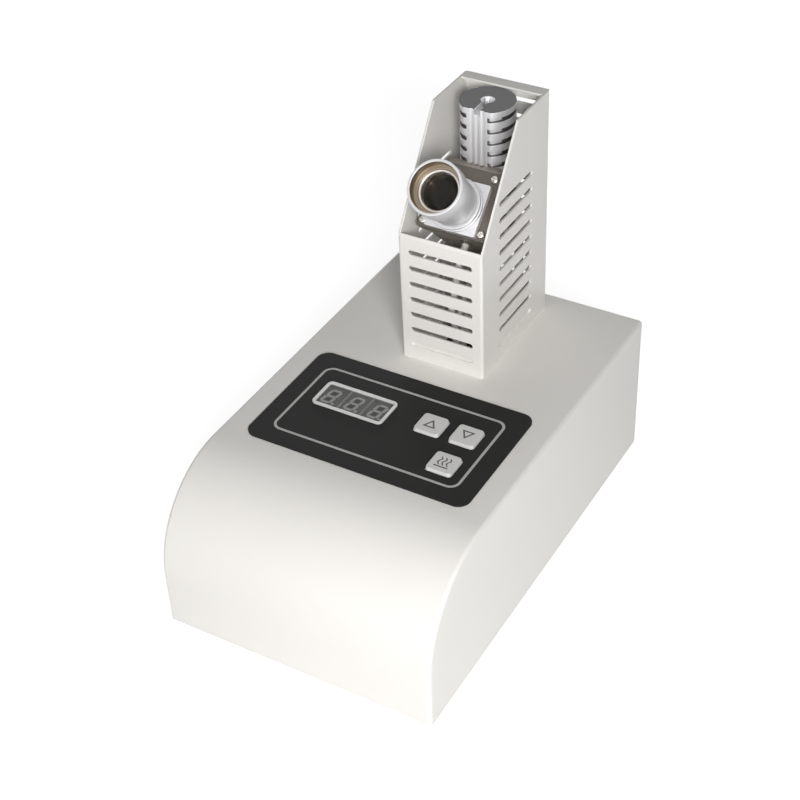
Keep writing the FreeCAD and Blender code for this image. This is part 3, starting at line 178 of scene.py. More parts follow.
def add_floor():
    bpy.ops.mesh.primitive_plane_add(size=FLOOR_SIZE)
    floor = bpy.context.object
    floor.name = "studio_floor"
    material = bpy.data.materials.new("studio_floor")
    material.use_nodes = True
    tree = material.node_tree
    shader = tree.nodes["Principled BSDF"]
    shader.inputs["Base Color"].default_value = (FLOOR_TONE, FLOOR_TONE, FLOOR_TONE, 1)
    shader.inputs["Roughness"].default_value = 0.9
    shader.inputs["Specular IOR Level"].default_value = 0.0
    shader.inputs["Emission Color"].default_value = (1, 1, 1, 1)
    tree.links.new(seen_level(tree, 0.0, FLOOR_LIFT), shader.inputs["Emission Strength"])
    floor.data.materials.append(material)


set_surround()
for name, (place, size, watts) in LAMPS.items():
    add_lamp(name, place, size, watts)
add_floor()
bpy.context.scene.view_settings.view_transform = "Standard"
print("surround at", FILL_LEVEL, "lamps:", {name: watts for name, (_, _, watts) in LAMPS.items()})

# %% [markdown]
# Most finishes here share one effect: a fine grain that changes the colour and the roughness a little and
# stands up from the surface, over a slow drift in tone. It is built once, as a node group, and each material
# gives it its own scale and strength. A second group draws the rings that a lathe leaves round an axis.
# A third finds the edges of a piece with the Bevel node; it rounds their shading and masks a painted highlight.

# %% Node groups
DRIFT_SCALE = 14.0
EDGE_GAIN = 6.0
EDGE_SAMPLES = 6


def new_group(name, inputs, outputs):
    """A shader node group. Each input is (name, kind, value), and each output (name, kind)."""
    group = bpy.data.node_groups.new(name, "ShaderNodeTree")
    for label, kind, value in inputs:
        socket = group.interface.new_socket(label, in_out="INPUT", socket_type="NodeSocket" + kind)
        if value is not None:
            socket.default_value = value
    for label, kind in outputs:
        group.interface.new_socket(label, in_out="OUTPUT", socket_type="NodeSocket" + kind)
    return group, group.nodes.new("NodeGroupInput"), group.nodes.new("NodeGroupOutput")


def maths(tree, operation, a, b, clamp=False):
    """A Math node: each side is a socket or a number."""
    node = tree.nodes.new("ShaderNodeMath")
    node.operation = operation
    node.use_clamp = clamp
    for socket, value in zip(node.inputs, (a, b)):
        if isinstance(value, (int, float)):
            socket.default_value = value
        else:
            tree.links.new(value, socket)
    return node.outputs[0]


def noise(tree, vector, scale, detail=2.0):
    node = tree.nodes.new("ShaderNodeTexNoise")
    node.inputs["Detail"].default_value = detail
    tree.links.new(vector, node.inputs["Vector"])
    if isinstance(scale, (int, float)):
        node.inputs["Scale"].default_value = scale
    else:
        tree.links.new(scale, node.inputs["Scale"])
    return node.outputs["Fac"]


def scaled_colour(tree, colour, factor):
    """A colour times a value."""
    node = tree.nodes.new("ShaderNodeVectorMath")
    node.operation = "SCALE"
    tree.links.new(colour, node.inputs[0])
    tree.links.new(factor, node.inputs["Scale"])
    return node.outputs[0]


def centred(tree, value, amount):
    """A value between 0 and 1 as a swing about zero."""
    return maths(tree, "MULTIPLY", maths(tree, "SUBTRACT", value, 0.5), amount)


def parts(tree, vector):
    """The X, Y and Z of a vector, as three sockets."""
    node = tree.nodes.new("ShaderNodeSeparateXYZ")
    tree.links.new(vector, node.inputs[0])
    return node.outputs["X"], node.outputs["Y"], node.outputs["Z"]


def squared_radius(tree, x, y):
    return maths(tree, "ADD", maths(tree, "MULTIPLY", x, x), maths(tree, "MULTIPLY", y, y))


def build_grain():
    group, inside, out = new_group(
        "surface_grain",
        [
            ("Vector", "Vector", None),
            ("Color", "Color", (0.5, 0.5, 0.5, 1)),
            ("Grain Scale", "Float", 900.0),
            ("Grain Contrast", "Float", 0.05),
            ("Drift", "Float", 0.04),
            ("Roughness", "Float", 0.4),
            ("Roughness Spread", "Float", 0.08),
        ],
        [("Color", "Color"), ("Roughness", "Float"), ("Height", "Float")],
    )
    source = inside.outputs
    fine = noise(group, source["Vector"], source["Grain Scale"], 3.0)
    slow = noise(group, source["Vector"], DRIFT_SCALE, 1.0)
    swing = maths(group, "ADD", centred(group, fine, source["Grain Contrast"]),
                  centred(group, slow, source["Drift"]))
    tone = maths(group, "ADD", swing, 1.0)
    group.links.new(scaled_colour(group, source["Color"], tone), out.inputs["Color"])
    roughness = maths(group, "ADD", source["Roughness"], centred(group, slow, source["Roughness Spread"]),
                      clamp=True)
    group.links.new(roughness, out.inputs["Roughness"])
    group.links.new(fine, out.inputs["Height"])
    return group


def build_rings():
    group, inside, out = new_group(
        "turned_rings",
        [("Vector", "Vector", None), ("Pitch", "Float", 0.0004)],
        [("Height", "Float")],
    )
    x, y, _ = parts(group, inside.outputs["Vector"])
    radius = maths(group, "SQRT", squared_radius(group, x, y), 0.0)
    line = group.nodes.new("ShaderNodeTexNoise")
    line.noise_dimensions = "1D"
    line.inputs["Scale"].default_value = 1.0
    line.inputs["Detail"].default_value = 3.0
    group.links.new(maths(group, "DIVIDE", radius, inside.outputs["Pitch"]), line.inputs["W"])
    group.links.new(line.outputs["Fac"], out.inputs["Height"])
    return group


def build_edges():
    group, inside, out = new_group(
        "worn_edges",
        [("Radius", "Float", 0.0005), ("Strength", "Float", 1.0)],
        [("Mask", "Float"), ("Normal", "Vector")],
    )
    bevel = group.nodes.new("ShaderNodeBevel")
    bevel.samples = EDGE_SAMPLES
    group.links.new(inside.outputs["Radius"], bevel.inputs["Radius"])
    geometry = group.nodes.new("ShaderNodeNewGeometry")
    dot = group.nodes.new("ShaderNodeVectorMath")
    dot.operation = "DOT_PRODUCT"
    group.links.new(bevel.outputs["Normal"], dot.inputs[0])
    group.links.new(geometry.outputs["Normal"], dot.inputs[1])
    # A mask along the edges, with which a highlight is painted.
    bend = maths(group, "SUBTRACT", 1.0, dot.outputs["Value"])
    edge_share = maths(group, "MULTIPLY", bend, EDGE_GAIN)
    mask = maths(group, "MULTIPLY", edge_share, inside.outputs["Strength"], clamp=True)
    group.links.new(mask, out.inputs["Mask"])
    group.links.new(bevel.outputs["Normal"], out.inputs["Normal"])
    return group


GRAIN = build_grain()
RINGS = build_rings()
EDGES = build_edges()
print("node groups:", [group.name for group in bpy.data.node_groups])

# %% [markdown]
# A finish starts as a Principled shader fed by the grain group. Numbers that are the same all over the
# surface sit on the shader itself, and only what changes over it comes through nodes. Colours are written in
# linear light: 0.8 is a pale paint, 0.03 a black plastic.

# %% Material helpers
ROUGHNESS_SPREAD = 0.08
COAT_ROUGHNESS = 0.2


def place_group(tree, group, **values):
    node = tree.nodes.new("ShaderNodeGroup")
    node.node_tree = group
    for label, value in values.items():
        node.inputs[label.replace("_", " ")].default_value = value
    return node


def object_place(tree, location=(0, 0, 0), rotation=(0, 0, 0), scale=(1, 1, 1)):
    """Object coordinates, moved and turned so that a pattern sits on its own piece."""
    coordinates = tree.nodes.new("ShaderNodeTexCoord")
    mapping = tree.nodes.new("ShaderNodeMapping")
    mapping.vector_type = "TEXTURE"
    mapping.inputs["Location"].default_value = location
    mapping.inputs["Rotation"].default_value = rotation
    mapping.inputs["Scale"].default_value = scale
    tree.links.new(coordinates.outputs["Object"], mapping.inputs["Vector"])
    return mapping.outputs["Vector"]


def make_finish(name, colour, roughness, metallic=0.0, grain=900.0, contrast=0.05, drift=0.04, depth=0.02,
                coat=0.0, edge=0.4, stretch=(1, 1, 1)):
    """A finish from the shared groups.

    depth is how far the grain stands up, and edge is how far the rounding of an edge reaches, in millimetres.
    """
    material = bpy.data.materials.new(name)
    material.use_nodes = True
    tree = material.node_tree
    shader = tree.nodes["Principled BSDF"]
    shader.inputs["Metallic"].default_value = metallic
    shader.inputs["Coat Weight"].default_value = coat
    shader.inputs["Coat Roughness"].default_value = COAT_ROUGHNESS
    surface = place_group(
        tree, GRAIN, Grain_Scale=grain, Grain_Contrast=contrast, Drift=drift,
        Roughness=roughness, Roughness_Spread=ROUGHNESS_SPREAD, Color=(*colour, 1),
    )
    tree.links.new(object_place(tree, scale=stretch), surface.inputs["Vector"])
    tree.links.new(surface.outputs["Color"], shader.inputs["Base Color"])
    tree.links.new(surface.outputs["Roughness"], shader.inputs["Roughness"])
    bump = tree.nodes.new("ShaderNodeBump")
    bump.name = "grain_bump"
    bump.inputs["Strength"].default_value = 1.0
    bump.inputs["Distance"].default_value = depth * MM
    tree.links.new(surface.outputs["Height"], bump.inputs["Height"])
    if edge:
        edges = place_group(tree, EDGES, Radius=edge * MM, Strength=1.0)
        edges.name = "edges"
        tree.links.new(edges.outputs["Normal"], bump.inputs["Normal"])
    tree.links.new(bump.outputs["Normal"], shader.inputs["Normal"])
    return material


def paint_over(material, mask, colour):
    """Another colour over a finish, as far as a mask lets it."""
    tree = material.node_tree
    base = tree.nodes["Principled BSDF"].inputs["Base Color"]
    mix = tree.nodes.new("ShaderNodeMix")
    mix.data_type = "RGBA"
    mix.inputs["B"].default_value = (*colour, 1)
    tree.links.new(mask, mix.inputs["Factor"])
    tree.links.new(base.links[0].from_socket, mix.inputs["A"])
    tree.links.new(mix.outputs["Result"], base)


def paint_edge_highlight(material, colour, amount):
    """Paints a highlight on the edges of a finish, which run towards another, lighter colour."""
    tree = material.node_tree
    paint_over(material, maths(tree, "MULTIPLY", tree.nodes["edges"].outputs["Mask"], amount), colour)
    return material


def add_relief(material, height, distance):
    """A second relief over the grain, distance in millimetres."""
    tree = material.node_tree
    bump = tree.nodes.new("ShaderNodeBump")
    bump.inputs["Distance"].default_value = distance * MM
    tree.links.new(height, bump.inputs["Height"])
    tree.links.new(tree.nodes["grain_bump"].outputs["Normal"], bump.inputs["Normal"])
    tree.links.new(bump.outputs["Normal"], tree.nodes["Principled BSDF"].inputs["Normal"])


print("a finish's own sockets: roughness spread", ROUGHNESS_SPREAD, "coat roughness", COAT_ROUGHNESS)

# %% [markdown]
# Powder coat is a thick, warm white plastic skin. Close up it has the dimples of orange peel, and along its
# edges a lighter cream is painted as a highlight. The keypad film has a fine velvet grain. The oven is aluminium
# that was blasted with glass beads, which scatters light evenly, so it is a metal with a rather high roughness
# and a very fine grain.

# %% Finishes
CREAM = (0.79, 0.772, 0.735)
finishes = {}
# The case's edges get a painted highlight, a lighter cream.
finishes["case"] = paint_edge_highlight(
    make_finish("case_paint", CREAM, 0.38, grain=750, contrast=0.02, drift=0.03, depth=0.012, edge=0.6),
    (0.9, 0.89, 0.85), 0.6,
)
finishes["chassis_steel"] = make_finish("chassis_paint", CREAM, 0.42, grain=750, contrast=0.02, depth=0.012)
finishes["foot_rubber"] = make_finish("foot_rubber", (0.022, 0.022, 0.022), 0.75, grain=1500, contrast=0.3)
finishes["screw_steel"] = make_finish("screw_steel", (0.62, 0.6, 0.56), 0.3, metallic=1.0, grain=2500,
                                      contrast=0.15)
finishes["overlay"] = make_finish("keypad_film", (0.0165, 0.0163, 0.016), 0.55, grain=3500, contrast=0.25,
                                  drift=0.1, depth=0.006)
finishes["overlay"].node_tree.nodes["Principled BSDF"].inputs["Specular IOR Level"].default_value = 0.13
finishes["silver_trim"] = make_finish("silver_trim", (0.72, 0.72, 0.705), 0.42, metallic=0.2, grain=2500)
finishes["digit"] = make_finish("digit_face", (0.15, 0.15, 0.147), 0.5, grain=2000, contrast=0.1)
finishes["key"] = make_finish("key_plastic", (0.68, 0.675, 0.66), 0.45, grain=1800, contrast=0.05, depth=0.008)
finishes["switch_black"] = make_finish("switch_plastic", (0.02, 0.02, 0.02), 0.45, grain=1800)
finishes["inlet_black"] = make_finish("inlet_plastic", (0.018, 0.018, 0.018), 0.48, grain=1600, contrast=0.2,
                                      depth=0.015)
finishes["circuit_board"] = make_finish("board_green", (0.02, 0.13, 0.06), 0.35, grain=1200, contrast=0.3, coat=0.4)
finishes["tin"] = make_finish("tinned_metal", (0.66, 0.65, 0.62), 0.34, metallic=1.0, grain=1500, contrast=0.12)
finishes["brass"] = make_finish("turned_brass", (0.62, 0.45, 0.2), 0.3, metallic=1.0, grain=2200, contrast=0.12)
finishes["transformer_steel"] = make_finish("laminations", (0.2, 0.2, 0.21), 0.5, metallic=0.8, grain=60,
                                            contrast=0.5, stretch=(40, 1, 40))
finishes["sink_aluminium"] = make_finish("black_anodised", (0.04, 0.04, 0.04), 0.5, metallic=0.6, grain=2500)
finishes["oven_aluminium"] = make_finish("blasted_aluminium", (0.68, 0.675, 0.685), 0.5, metallic=0.7, grain=3200,
                                         contrast=0.16, drift=0.05, depth=0.01)
finishes["dark_aluminium"] = make_finish("brown_anodised", (0.13, 0.115, 0.1), 0.42, metallic=0.6, grain=2500)
# The viewing head: brown from heat stain, and darker still as painted shade.
finishes["head_aluminium"] = make_finish("stained_aluminium", (0.36, 0.325, 0.29), 0.55, metallic=0.5, grain=2800,
                                         contrast=0.14)
finishes["terminal"] = make_finish("terminal_green", (0.03, 0.2, 0.09), 0.45, grain=1500)
print("finishes:", sorted(finishes))

# %% [markdown]
# Some finishes need more than grain. The top of the core was faced on a lathe, so rings run round its middle,
# and only its faces that look straight up are painted dark, as a painted dark reflection. The gaps between its
# fins, found by their distance from the axis, are painted dark as painted shade. The viewing head is brown with
# heat stain, is darkened further as painted shade, and is black inside its sight hole. The white sleeves of the
# leads are plaited glass fibre, drawn by two crossing waves.
# Glass stays plain: it takes its look from what is round it.

# %% Special finishes
core_low, core_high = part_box("heater_core")
CORE_X = (core_low.x + core_high.x) / 2
CORE_AXIS_Y = core_high.y - (core_high.x - core_low.x) / 2
TOP_PAINTED_DARK = (0.067, 0.067, 0.07)
GAP_PAINTED_SHADE = (0.07, 0.066, 0.06)
DARK_SHARE = 0.9
LEVEL_FACE = 0.97
GAP_INSET = 0.3
GUIDES_HALF = 5.0
FRONT_FACE = -0.5
FACED_PITCH = 0.35
LATHE_PITCH = 0.3
SLEEVE_PITCH = 0.9
SLEEVE_TURNS = 3.0
SIGHT_HOLE_R = 6.7
BLACKENED = (0.02, 0.014, 0.008)
BLACKENED_GLOSS = 0.1
COATED_IOR = 1.25


def make_core_finish():
    """The core's aluminium, with painted dark reflection on its faced top and painted shade between its fins."""
    material = finishes["oven_aluminium"].copy()
    material.name = "faced_aluminium"
    tree = material.node_tree
    geometry = tree.nodes.new("ShaderNodeNewGeometry")
    _, facing_y, facing_z = parts(tree, geometry.outputs["True Normal"])
    x, y, z = parts(tree, object_place(tree))
    high = maths(tree, "GREATER_THAN", z, core_high.z - MM)
    top = maths(tree, "MULTIPLY", maths(tree, "GREATER_THAN", facing_z, LEVEL_FACE), high)
    # A painted dark reflection on the faced top.
    paint_over(material, maths(tree, "MULTIPLY", top, DARK_SHARE), TOP_PAINTED_DARK)
    away = squared_radius(tree, x, maths(tree, "ADD", y, -CORE_AXIS_Y))
    gap = maths(tree, "LESS_THAN", away, (core_high.x - GAP_INSET * MM) ** 2)
    for test in (
        maths(tree, "GREATER_THAN", maths(tree, "ABSOLUTE", x, 0.0), GUIDES_HALF * MM),
        maths(tree, "GREATER_THAN", facing_y, FRONT_FACE),
        maths(tree, "LESS_THAN", z, core_high.z - MM),
    ):
        gap = maths(tree, "MULTIPLY", gap, test)
    # Painted shade in the gaps between the fins.
    paint_over(material, maths(tree, "MULTIPLY", gap, DARK_SHARE), GAP_PAINTED_SHADE)
    rings = place_group(tree, RINGS, Pitch=FACED_PITCH * MM)
    tree.links.new(object_place(tree, location=(CORE_X, CORE_AXIS_Y, 0)), rings.inputs["Vector"])
    add_relief(material, maths(tree, "MULTIPLY", rings.outputs["Height"], top), 0.02)
    return material


def make_turned_finish(name, colour, roughness, metallic=0.9):
    """Metal with lathe rings round the magnifier's axis."""
    material = make_finish(name, colour, roughness, metallic=metallic, grain=2600, contrast=0.1, edge=0)
    tree = material.node_tree
    rings = place_group(tree, RINGS, Pitch=LATHE_PITCH * MM)
    place = object_place(tree, location=LENS_MIDDLE, rotation=LENS_TURN.to_euler())
    tree.links.new(place, rings.inputs["Vector"])
    add_relief(material, rings.outputs["Height"], 0.01)
    return material


def blacken_sight_hole(material):
    """Blackens the viewing head's aluminium inside the sight hole, so that nothing glares in the lens."""
    tree = material.node_tree
    metallic = tree.nodes["Principled BSDF"].inputs["Metallic"]
    x, y, _ = parts(tree, object_place(tree, location=LENS_MIDDLE, rotation=LENS_TURN.to_euler()))
    inside = maths(tree, "LESS_THAN", squared_radius(tree, x, y), (SIGHT_HOLE_R * MM) ** 2)
    paint_over(material, inside, BLACKENED)
    bare = maths(tree, "SUBTRACT", 1.0, inside)
    tree.links.new(maths(tree, "MULTIPLY", bare, metallic.default_value), metallic)


def make_sleeve_finish():
    material = make_finish("glass_fibre_sleeve", (0.9, 0.89, 0.86), 0.7, grain=1800, contrast=0.1)
    tree = material.node_tree
    x, y, z = parts(tree, object_place(tree, scale=[SLEEVE_PITCH * MM] * 3))
    across = maths(tree, "ADD", x, y)
    waves = [maths(tree, "SINE", maths(tree, "MULTIPLY", maths(tree, way, across, z), SLEEVE_TURNS), 0.0)
             for way in ("ADD", "SUBTRACT")]
    add_relief(material, maths(tree, "MULTIPLY", *waves), 0.12)
    return material


def make_glass(name, colour, roughness=0.02, alpha=1.0, transmission=1.0, ior=1.5):
    """Glass, or clear plastic. A lower ior stands for a coat against glare, which reflects less."""
    material = bpy.data.materials.new(name)
    material.use_nodes = True
    tree = material.node_tree
    shader = tree.nodes["Principled BSDF"]
    shader.inputs["Transmission Weight"].default_value = transmission
    shader.inputs["IOR"].default_value = ior
    shader.inputs["Alpha"].default_value = alpha
    surface = place_group(tree, GRAIN, Grain_Scale=300.0, Grain_Contrast=0.01, Drift=0.02, Roughness=roughness,
                          Roughness_Spread=0.02, Color=(*colour, 1))
    tree.links.new(object_place(tree), surface.inputs["Vector"])
    tree.links.new(surface.outputs["Color"], shader.inputs["Base Color"])
    tree.links.new(surface.outputs["Roughness"], shader.inputs["Roughness"])
    return material


blacken_sight_hole(finishes["head_aluminium"])
finishes["lead_sleeve"] = make_sleeve_finish()
finishes["lens_glass"] = make_glass("lens_glass", (0.9, 0.82, 0.7), ior=COATED_IOR)
finishes["lamp"] = make_glass("lamp_glass", (0.95, 0.94, 0.88), roughness=0.1)
finishes["window"] = make_glass("display_window", (0.05, 0.05, 0.05), roughness=0.2, alpha=0.12, transmission=0.0)
faced_aluminium = make_core_finish()
turned_aluminium = make_turned_finish("turned_aluminium", (0.67, 0.665, 0.675), 0.5, metallic=0.55)
bright_ring = make_turned_finish("bright_ring", (0.78, 0.75, 0.73), 0.35)
warm_bore = make_turned_finish("warm_bore", (0.3, 0.245, 0.18), 0.36)
black_bore = make_turned_finish("black_bore", BLACKENED, 0.7, metallic=0.0)
for blackened in (black_bore, finishes["head_aluminium"]):
    blackened.node_tree.nodes["Principled BSDF"].inputs["Specular IOR Level"].default_value = BLACKENED_GLOSS
print("special finishes:", faced_aluminium.name, turned_aluminium.name, bright_ring.name, warm_bore.name,
      black_bore.name)

# %% [markdown]
# Each node of the frame names a material slot in the record, so one loop dresses them all.

# %% Dress the frame's nodes


def dress(piece, material):
    piece.data.materials.clear()
    piece.data.materials.append(material)


for entry in frame["record"]["subparts"]:
    dress(nodes[entry["node"]], finishes[entry["material_slot"]])
dress(nodes["heater_core"], faced_aluminium)
dress(nodes["viewing_head"], finishes["head_aluminium"])
print("dressed", len(nodes), "nodes")

# %% [markdown]
# Meshes are worked on in edit mode, where an operator acts on what is selected. These few helpers start a
# primitive, pick faces or edges by their place, run a modifier and put a finished piece in its place.

# %% Mesh helpers
WELD = 1e-5
FINE_WELD = 1e-6
AXIS_GAP = 0.02


def select_only(piece):
    bpy.ops.object.select_all(action="DESELECT")
    piece.select_set(True)
    bpy.context.view_layer.objects.active = piece


def edit(piece, mode="FACE", all_selected=False):
    """Goes into edit mode on one piece, with nothing or everything selected."""
    select_only(piece)
    bpy.ops.object.mode_set(mode="EDIT")
    bpy.ops.mesh.select_mode(type=mode)
    bpy.ops.mesh.select_all(action="SELECT" if all_selected else "DESELECT")


def leave_edit():
    bpy.ops.object.mode_set(mode="OBJECT")


def pick(piece, kind, test):
    """Selects, in edit mode, the faces, edges or corners that pass a test."""
    mesh = bmesh.from_edit_mesh(piece.data)
    for item in getattr(mesh, kind):
        item.select_set(bool(test(item)))
    mesh.select_flush_mode()
    bmesh.update_edit_mesh(piece.data)


def round_edges(piece, width, segments=3, angle=35.0):
    """Rounds every sharp edge with an applied Bevel modifier, width in millimetres."""
    select_only(piece)
    bevel = piece.modifiers.new("rounding", "BEVEL")
    bevel.width = width * MM
    bevel.segments = segments
    bevel.limit_method = "ANGLE"
    bevel.angle_limit = math.radians(angle)
    bpy.ops.object.modifier_apply(modifier=bevel.name)


def cut_away(piece, cutter):
    """Takes one piece out of another, and removes the cutter."""
    select_only(piece)
    cut = piece.modifiers.new("cut", "BOOLEAN")
    cut.object = cutter
    bpy.ops.object.modifier_apply(modifier=cut.name)
    bpy.data.objects.remove(cutter)


def shift(x, y, z):
    """A move, in millimetres."""
    return Matrix.Translation((x * MM, y * MM, z * MM))


def spin(degrees):
    """A turn about the upright axis."""
    return Matrix.Rotation(math.radians(degrees), 4, "Z")


def copy_of(piece):
    """A copy with its own mesh."""
    twin = piece.copy()
    twin.data = piece.data.copy()
    bpy.context.collection.objects.link(twin)
    return twin


def finish_piece(piece, name, material, body, place=None, smooth=30.0):
    """Gives a piece its place, name and finish, and lets it ride on its body."""
    select_only(piece)
    bpy.ops.object.transform_apply(location=True, rotation=True, scale=True)
    if place is not None:
        piece.data.transform(place)
    piece.name = name
    piece.data.name = name
    if material is not None:
        dress(piece, material)
    select_only(piece)
    bpy.ops.object.shade_smooth_by_angle(angle=math.radians(smooth))
    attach(piece, body)
    return piece


def join_pieces(pieces):
    """Makes one piece of several, or leaves a single one as it is."""
    select_only(pieces[0])
    for piece in pieces[1:]:
        piece.select_set(True)
    if len(pieces) > 1:
        bpy.ops.object.join()
    return pieces[0]


def lathe(points, sides=96):
    """Turns a closed outline of (radius, height), in millimetres, about the Z axis.

    A circle is the first point, and each further point is its rim extruded, moved and resized. A rim can't be
    resized from nothing, so an outline stays AXIS_GAP off the axis.
    """
    radius, height = points[0]
    bpy.ops.mesh.primitive_circle_add(vertices=sides, radius=radius * MM, location=(0, 0, 0))
    piece = bpy.context.object
    edit(piece, "VERT", all_selected=True)
    bpy.ops.transform.translate(value=(0, 0, height * MM))
    for r, z in list(points[1:]) + [points[0]]:
        bpy.ops.mesh.extrude_region_move(TRANSFORM_OT_translate={"value": (0, 0, (z - height) * MM)})
        size = r / radius
        bpy.ops.transform.resize(value=(size, size, 1), center_override=(0, 0, z * MM))
        radius, height = r, z
    bpy.ops.mesh.select_all(action="SELECT")
    bpy.ops.mesh.remove_doubles(threshold=WELD)
    bpy.ops.mesh.normals_make_consistent(inside=False)
    leave_edit()
    return piece


def add_washer(inner, outer, low, high, sides):
    """A turned ring between two radii and two heights, in millimetres."""
    return lathe([(inner, low), (outer, low), (outer, high), (inner, high)], sides)


def add_block(low, high):
    """A plain block between two corners, in millimetres."""
    middle = [(a + b) / 2 * MM for a, b in zip(low, high)]
    size = [abs(b - a) * MM for a, b in zip(low, high)]
    bpy.ops.mesh.primitive_cube_add(size=1, location=middle, scale=size)
    block = bpy.context.object
    bpy.ops.object.transform_apply(location=True, rotation=True, scale=True)
    return block


def add_plate(width, depth, height, corner, segments=6):
    """A plate with rounded upright corners, standing on the XY plane, in millimetres."""
    piece = add_block((-width / 2, -depth / 2, 0), (width / 2, depth / 2, height))
    edit(piece, "EDGE")
    pick(piece, "edges", lambda e: abs((e.verts[0].co - e.verts[1].co).normalized().z) > 0.99)
    bpy.ops.mesh.bevel(offset=corner * MM, segments=segments, affect="EDGES")
    leave_edit()
    return piece


def add_flat(width, depth, x=0.0, y=0.0):
    """A flat rectangle on the XY plane, in millimetres."""
    bpy.ops.mesh.primitive_plane_add(size=1)
    piece = bpy.context.object
    piece.scale = (width * MM, depth * MM, 1)
    piece.location = (x * MM, y * MM, 0)
    bpy.ops.object.transform_apply(location=True, rotation=True, scale=True)
    return piece


def raise_flat(rise):
    """In edit mode: gives a flat outline its thickness, in millimetres, and leaves edit mode."""
    bpy.ops.mesh.select_all(action="SELECT")
    bpy.ops.mesh.extrude_region_move(TRANSFORM_OT_translate={"value": (0, 0, rise * MM)})
    bpy.ops.mesh.select_all(action="SELECT")
    bpy.ops.mesh.normals_make_consistent(inside=False)
    leave_edit()


print("mesh helpers ready, corners closer than", WELD, "m are merged")

# %% [markdown]
# The silver line on the keypad is printed, a ring with rounded corners that hardly stands above the film. A
# plane is rounded at its corners, inset to leave a ring, and the middle is deleted before the ring is raised.

# %% Printed border line
LINE_WIDTH = 111.3
LINE_DEPTH = 59.3
LINE_THICK = 1.5
LINE_CORNER = 6.0
LINE_RISE = 0.05
LINE_X = -0.27
LINE_Y = -22.0


def printed_ring(width, depth, thick, corner, rise):
    """A flat rounded ring of ink, lying on the XY plane, in millimetres."""
    piece = add_flat(width, depth)
    edit(piece, "VERT", all_selected=True)
    bpy.ops.mesh.bevel(offset=corner * MM, segments=10, affect="VERTICES")
    bpy.ops.mesh.select_mode(type="FACE")
    bpy.ops.mesh.select_all(action="SELECT")
    bpy.ops.mesh.inset(thickness=thick * MM, use_even_offset=True)
    bpy.ops.mesh.delete(type="FACE")
    raise_flat(rise)
    return piece


line = printed_ring(LINE_WIDTH, LINE_DEPTH, LINE_THICK, LINE_CORNER, LINE_RISE)
silver_ink = make_finish("silver_ink", (0.42, 0.42, 0.41), 0.45, grain=2500, edge=0)
finish_piece(line, "printed_border", silver_ink, "base",
             shift(LINE_X, LINE_Y, PANEL_TOP / MM))
print("border line", len(line.data.polygons), "faces")

# %% [markdown]
# A seven-segment module is a light plastic box with a dark face, in which seven windows and a dot glow. One
# segment is a plane whose short ends are drawn out to points, raised to a thin bar. Seven copies make a
# figure, which leans ten degrees, and three modules stand close behind the window, side by side.

# %% Display modules
FIGURE_HEIGHT = 12.2
FIGURE_WIDTH = 7.1
SEGMENT_THICK = 1.6
SEGMENT_GAP = 0.16
SEGMENT_RISE = 0.06
SEGMENT_LEAN = 10.0
DOT_RADIUS = 0.95
DOT_ASIDE = 2.0
PATCH_GAP_X = 1.1
PATCH_GAP_Y = 0.9
PATCH_CORNER = 0.5
PATCH_SHARE = 0.4
FIGURE_SHIFTS = (-1.0, -0.4, 0.2)
MODULE_COUNT = len(FIGURE_SHIFTS)
MODULE_CORNER = 0.3
FACE_BORDER = 0.5
FACE_SINK = 0.04
module_low, module_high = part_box("digit_modules")
MODULE_SPAN = (module_high.x - module_low.x) / MM
MODULE_GAP = 0.3
MODULE_WIDTH = (MODULE_SPAN - (MODULE_COUNT - 1) * MODULE_GAP) / MODULE_COUNT
MODULE_DEPTH = (module_high.y - module_low.y) / MM
MODULE_HEIGHT = (module_high.z - module_low.z) / MM

segment_white = make_finish("segment_window", (0.5, 0.5, 0.49), 0.4, grain=2500, contrast=0.04, edge=0)
module_case = make_finish("module_case", (0.36, 0.36, 0.35), 0.5, grain=1800, edge=0)
figure_shade = make_finish("figure_shade", (0.065, 0.065, 0.063), 0.5, grain=1800, edge=0)


def segment_bar(length):
    """One segment lying along X, with pointed ends."""
    half = (length - SEGMENT_THICK) / 2
    piece = add_flat(2 * half, SEGMENT_THICK)
    edit(piece, "EDGE")
    for side in (-1, 1):
        bpy.ops.mesh.select_all(action="DESELECT")
        pick(piece, "edges", lambda e: all(side * v.co.x > half * MM - FINE_WELD for v in e.verts))
        bpy.ops.mesh.extrude_region_move(TRANSFORM_OT_translate={"value": (side * SEGMENT_THICK / 2 * MM, 0, 0)})
        bpy.ops.mesh.merge(type="CENTER")
    raise_flat(SEGMENT_RISE)
    return piece


def lean_matrix():
    matrix = Matrix.Identity(4)
    matrix[0][1] = math.tan(math.radians(SEGMENT_LEAN))
    return matrix


def add_figure():
    """A leaning figure of seven segments and its point, round the origin."""
    half_w = (FIGURE_WIDTH - SEGMENT_THICK) / 2
    half_h = (FIGURE_HEIGHT - SEGMENT_THICK) / 2
    flat = segment_bar(2 * half_w - SEGMENT_GAP)
    upright = segment_bar(half_h - SEGMENT_GAP)
    upright.data.transform(spin(90))
    places = [(flat, 0, y) for y in (-half_h, 0, half_h)]
    places += [(upright, x, y) for x in (-half_w, half_w) for y in (-half_h / 2, half_h / 2)]
    pieces = []
    for bar, x, y in places:
        pieces.append(copy_of(bar))
        pieces[-1].data.transform(shift(x, y, 0))
    for spare in (flat, upright):
        bpy.data.objects.remove(spare)
    dot = add_washer(AXIS_GAP, DOT_RADIUS, 0, SEGMENT_RISE, 24)
    dot.data.transform(shift(half_w + DOT_ASIDE, -half_h, 0))
    figure = join_pieces(pieces + [dot])
    figure.data.transform(lean_matrix())
    return figure


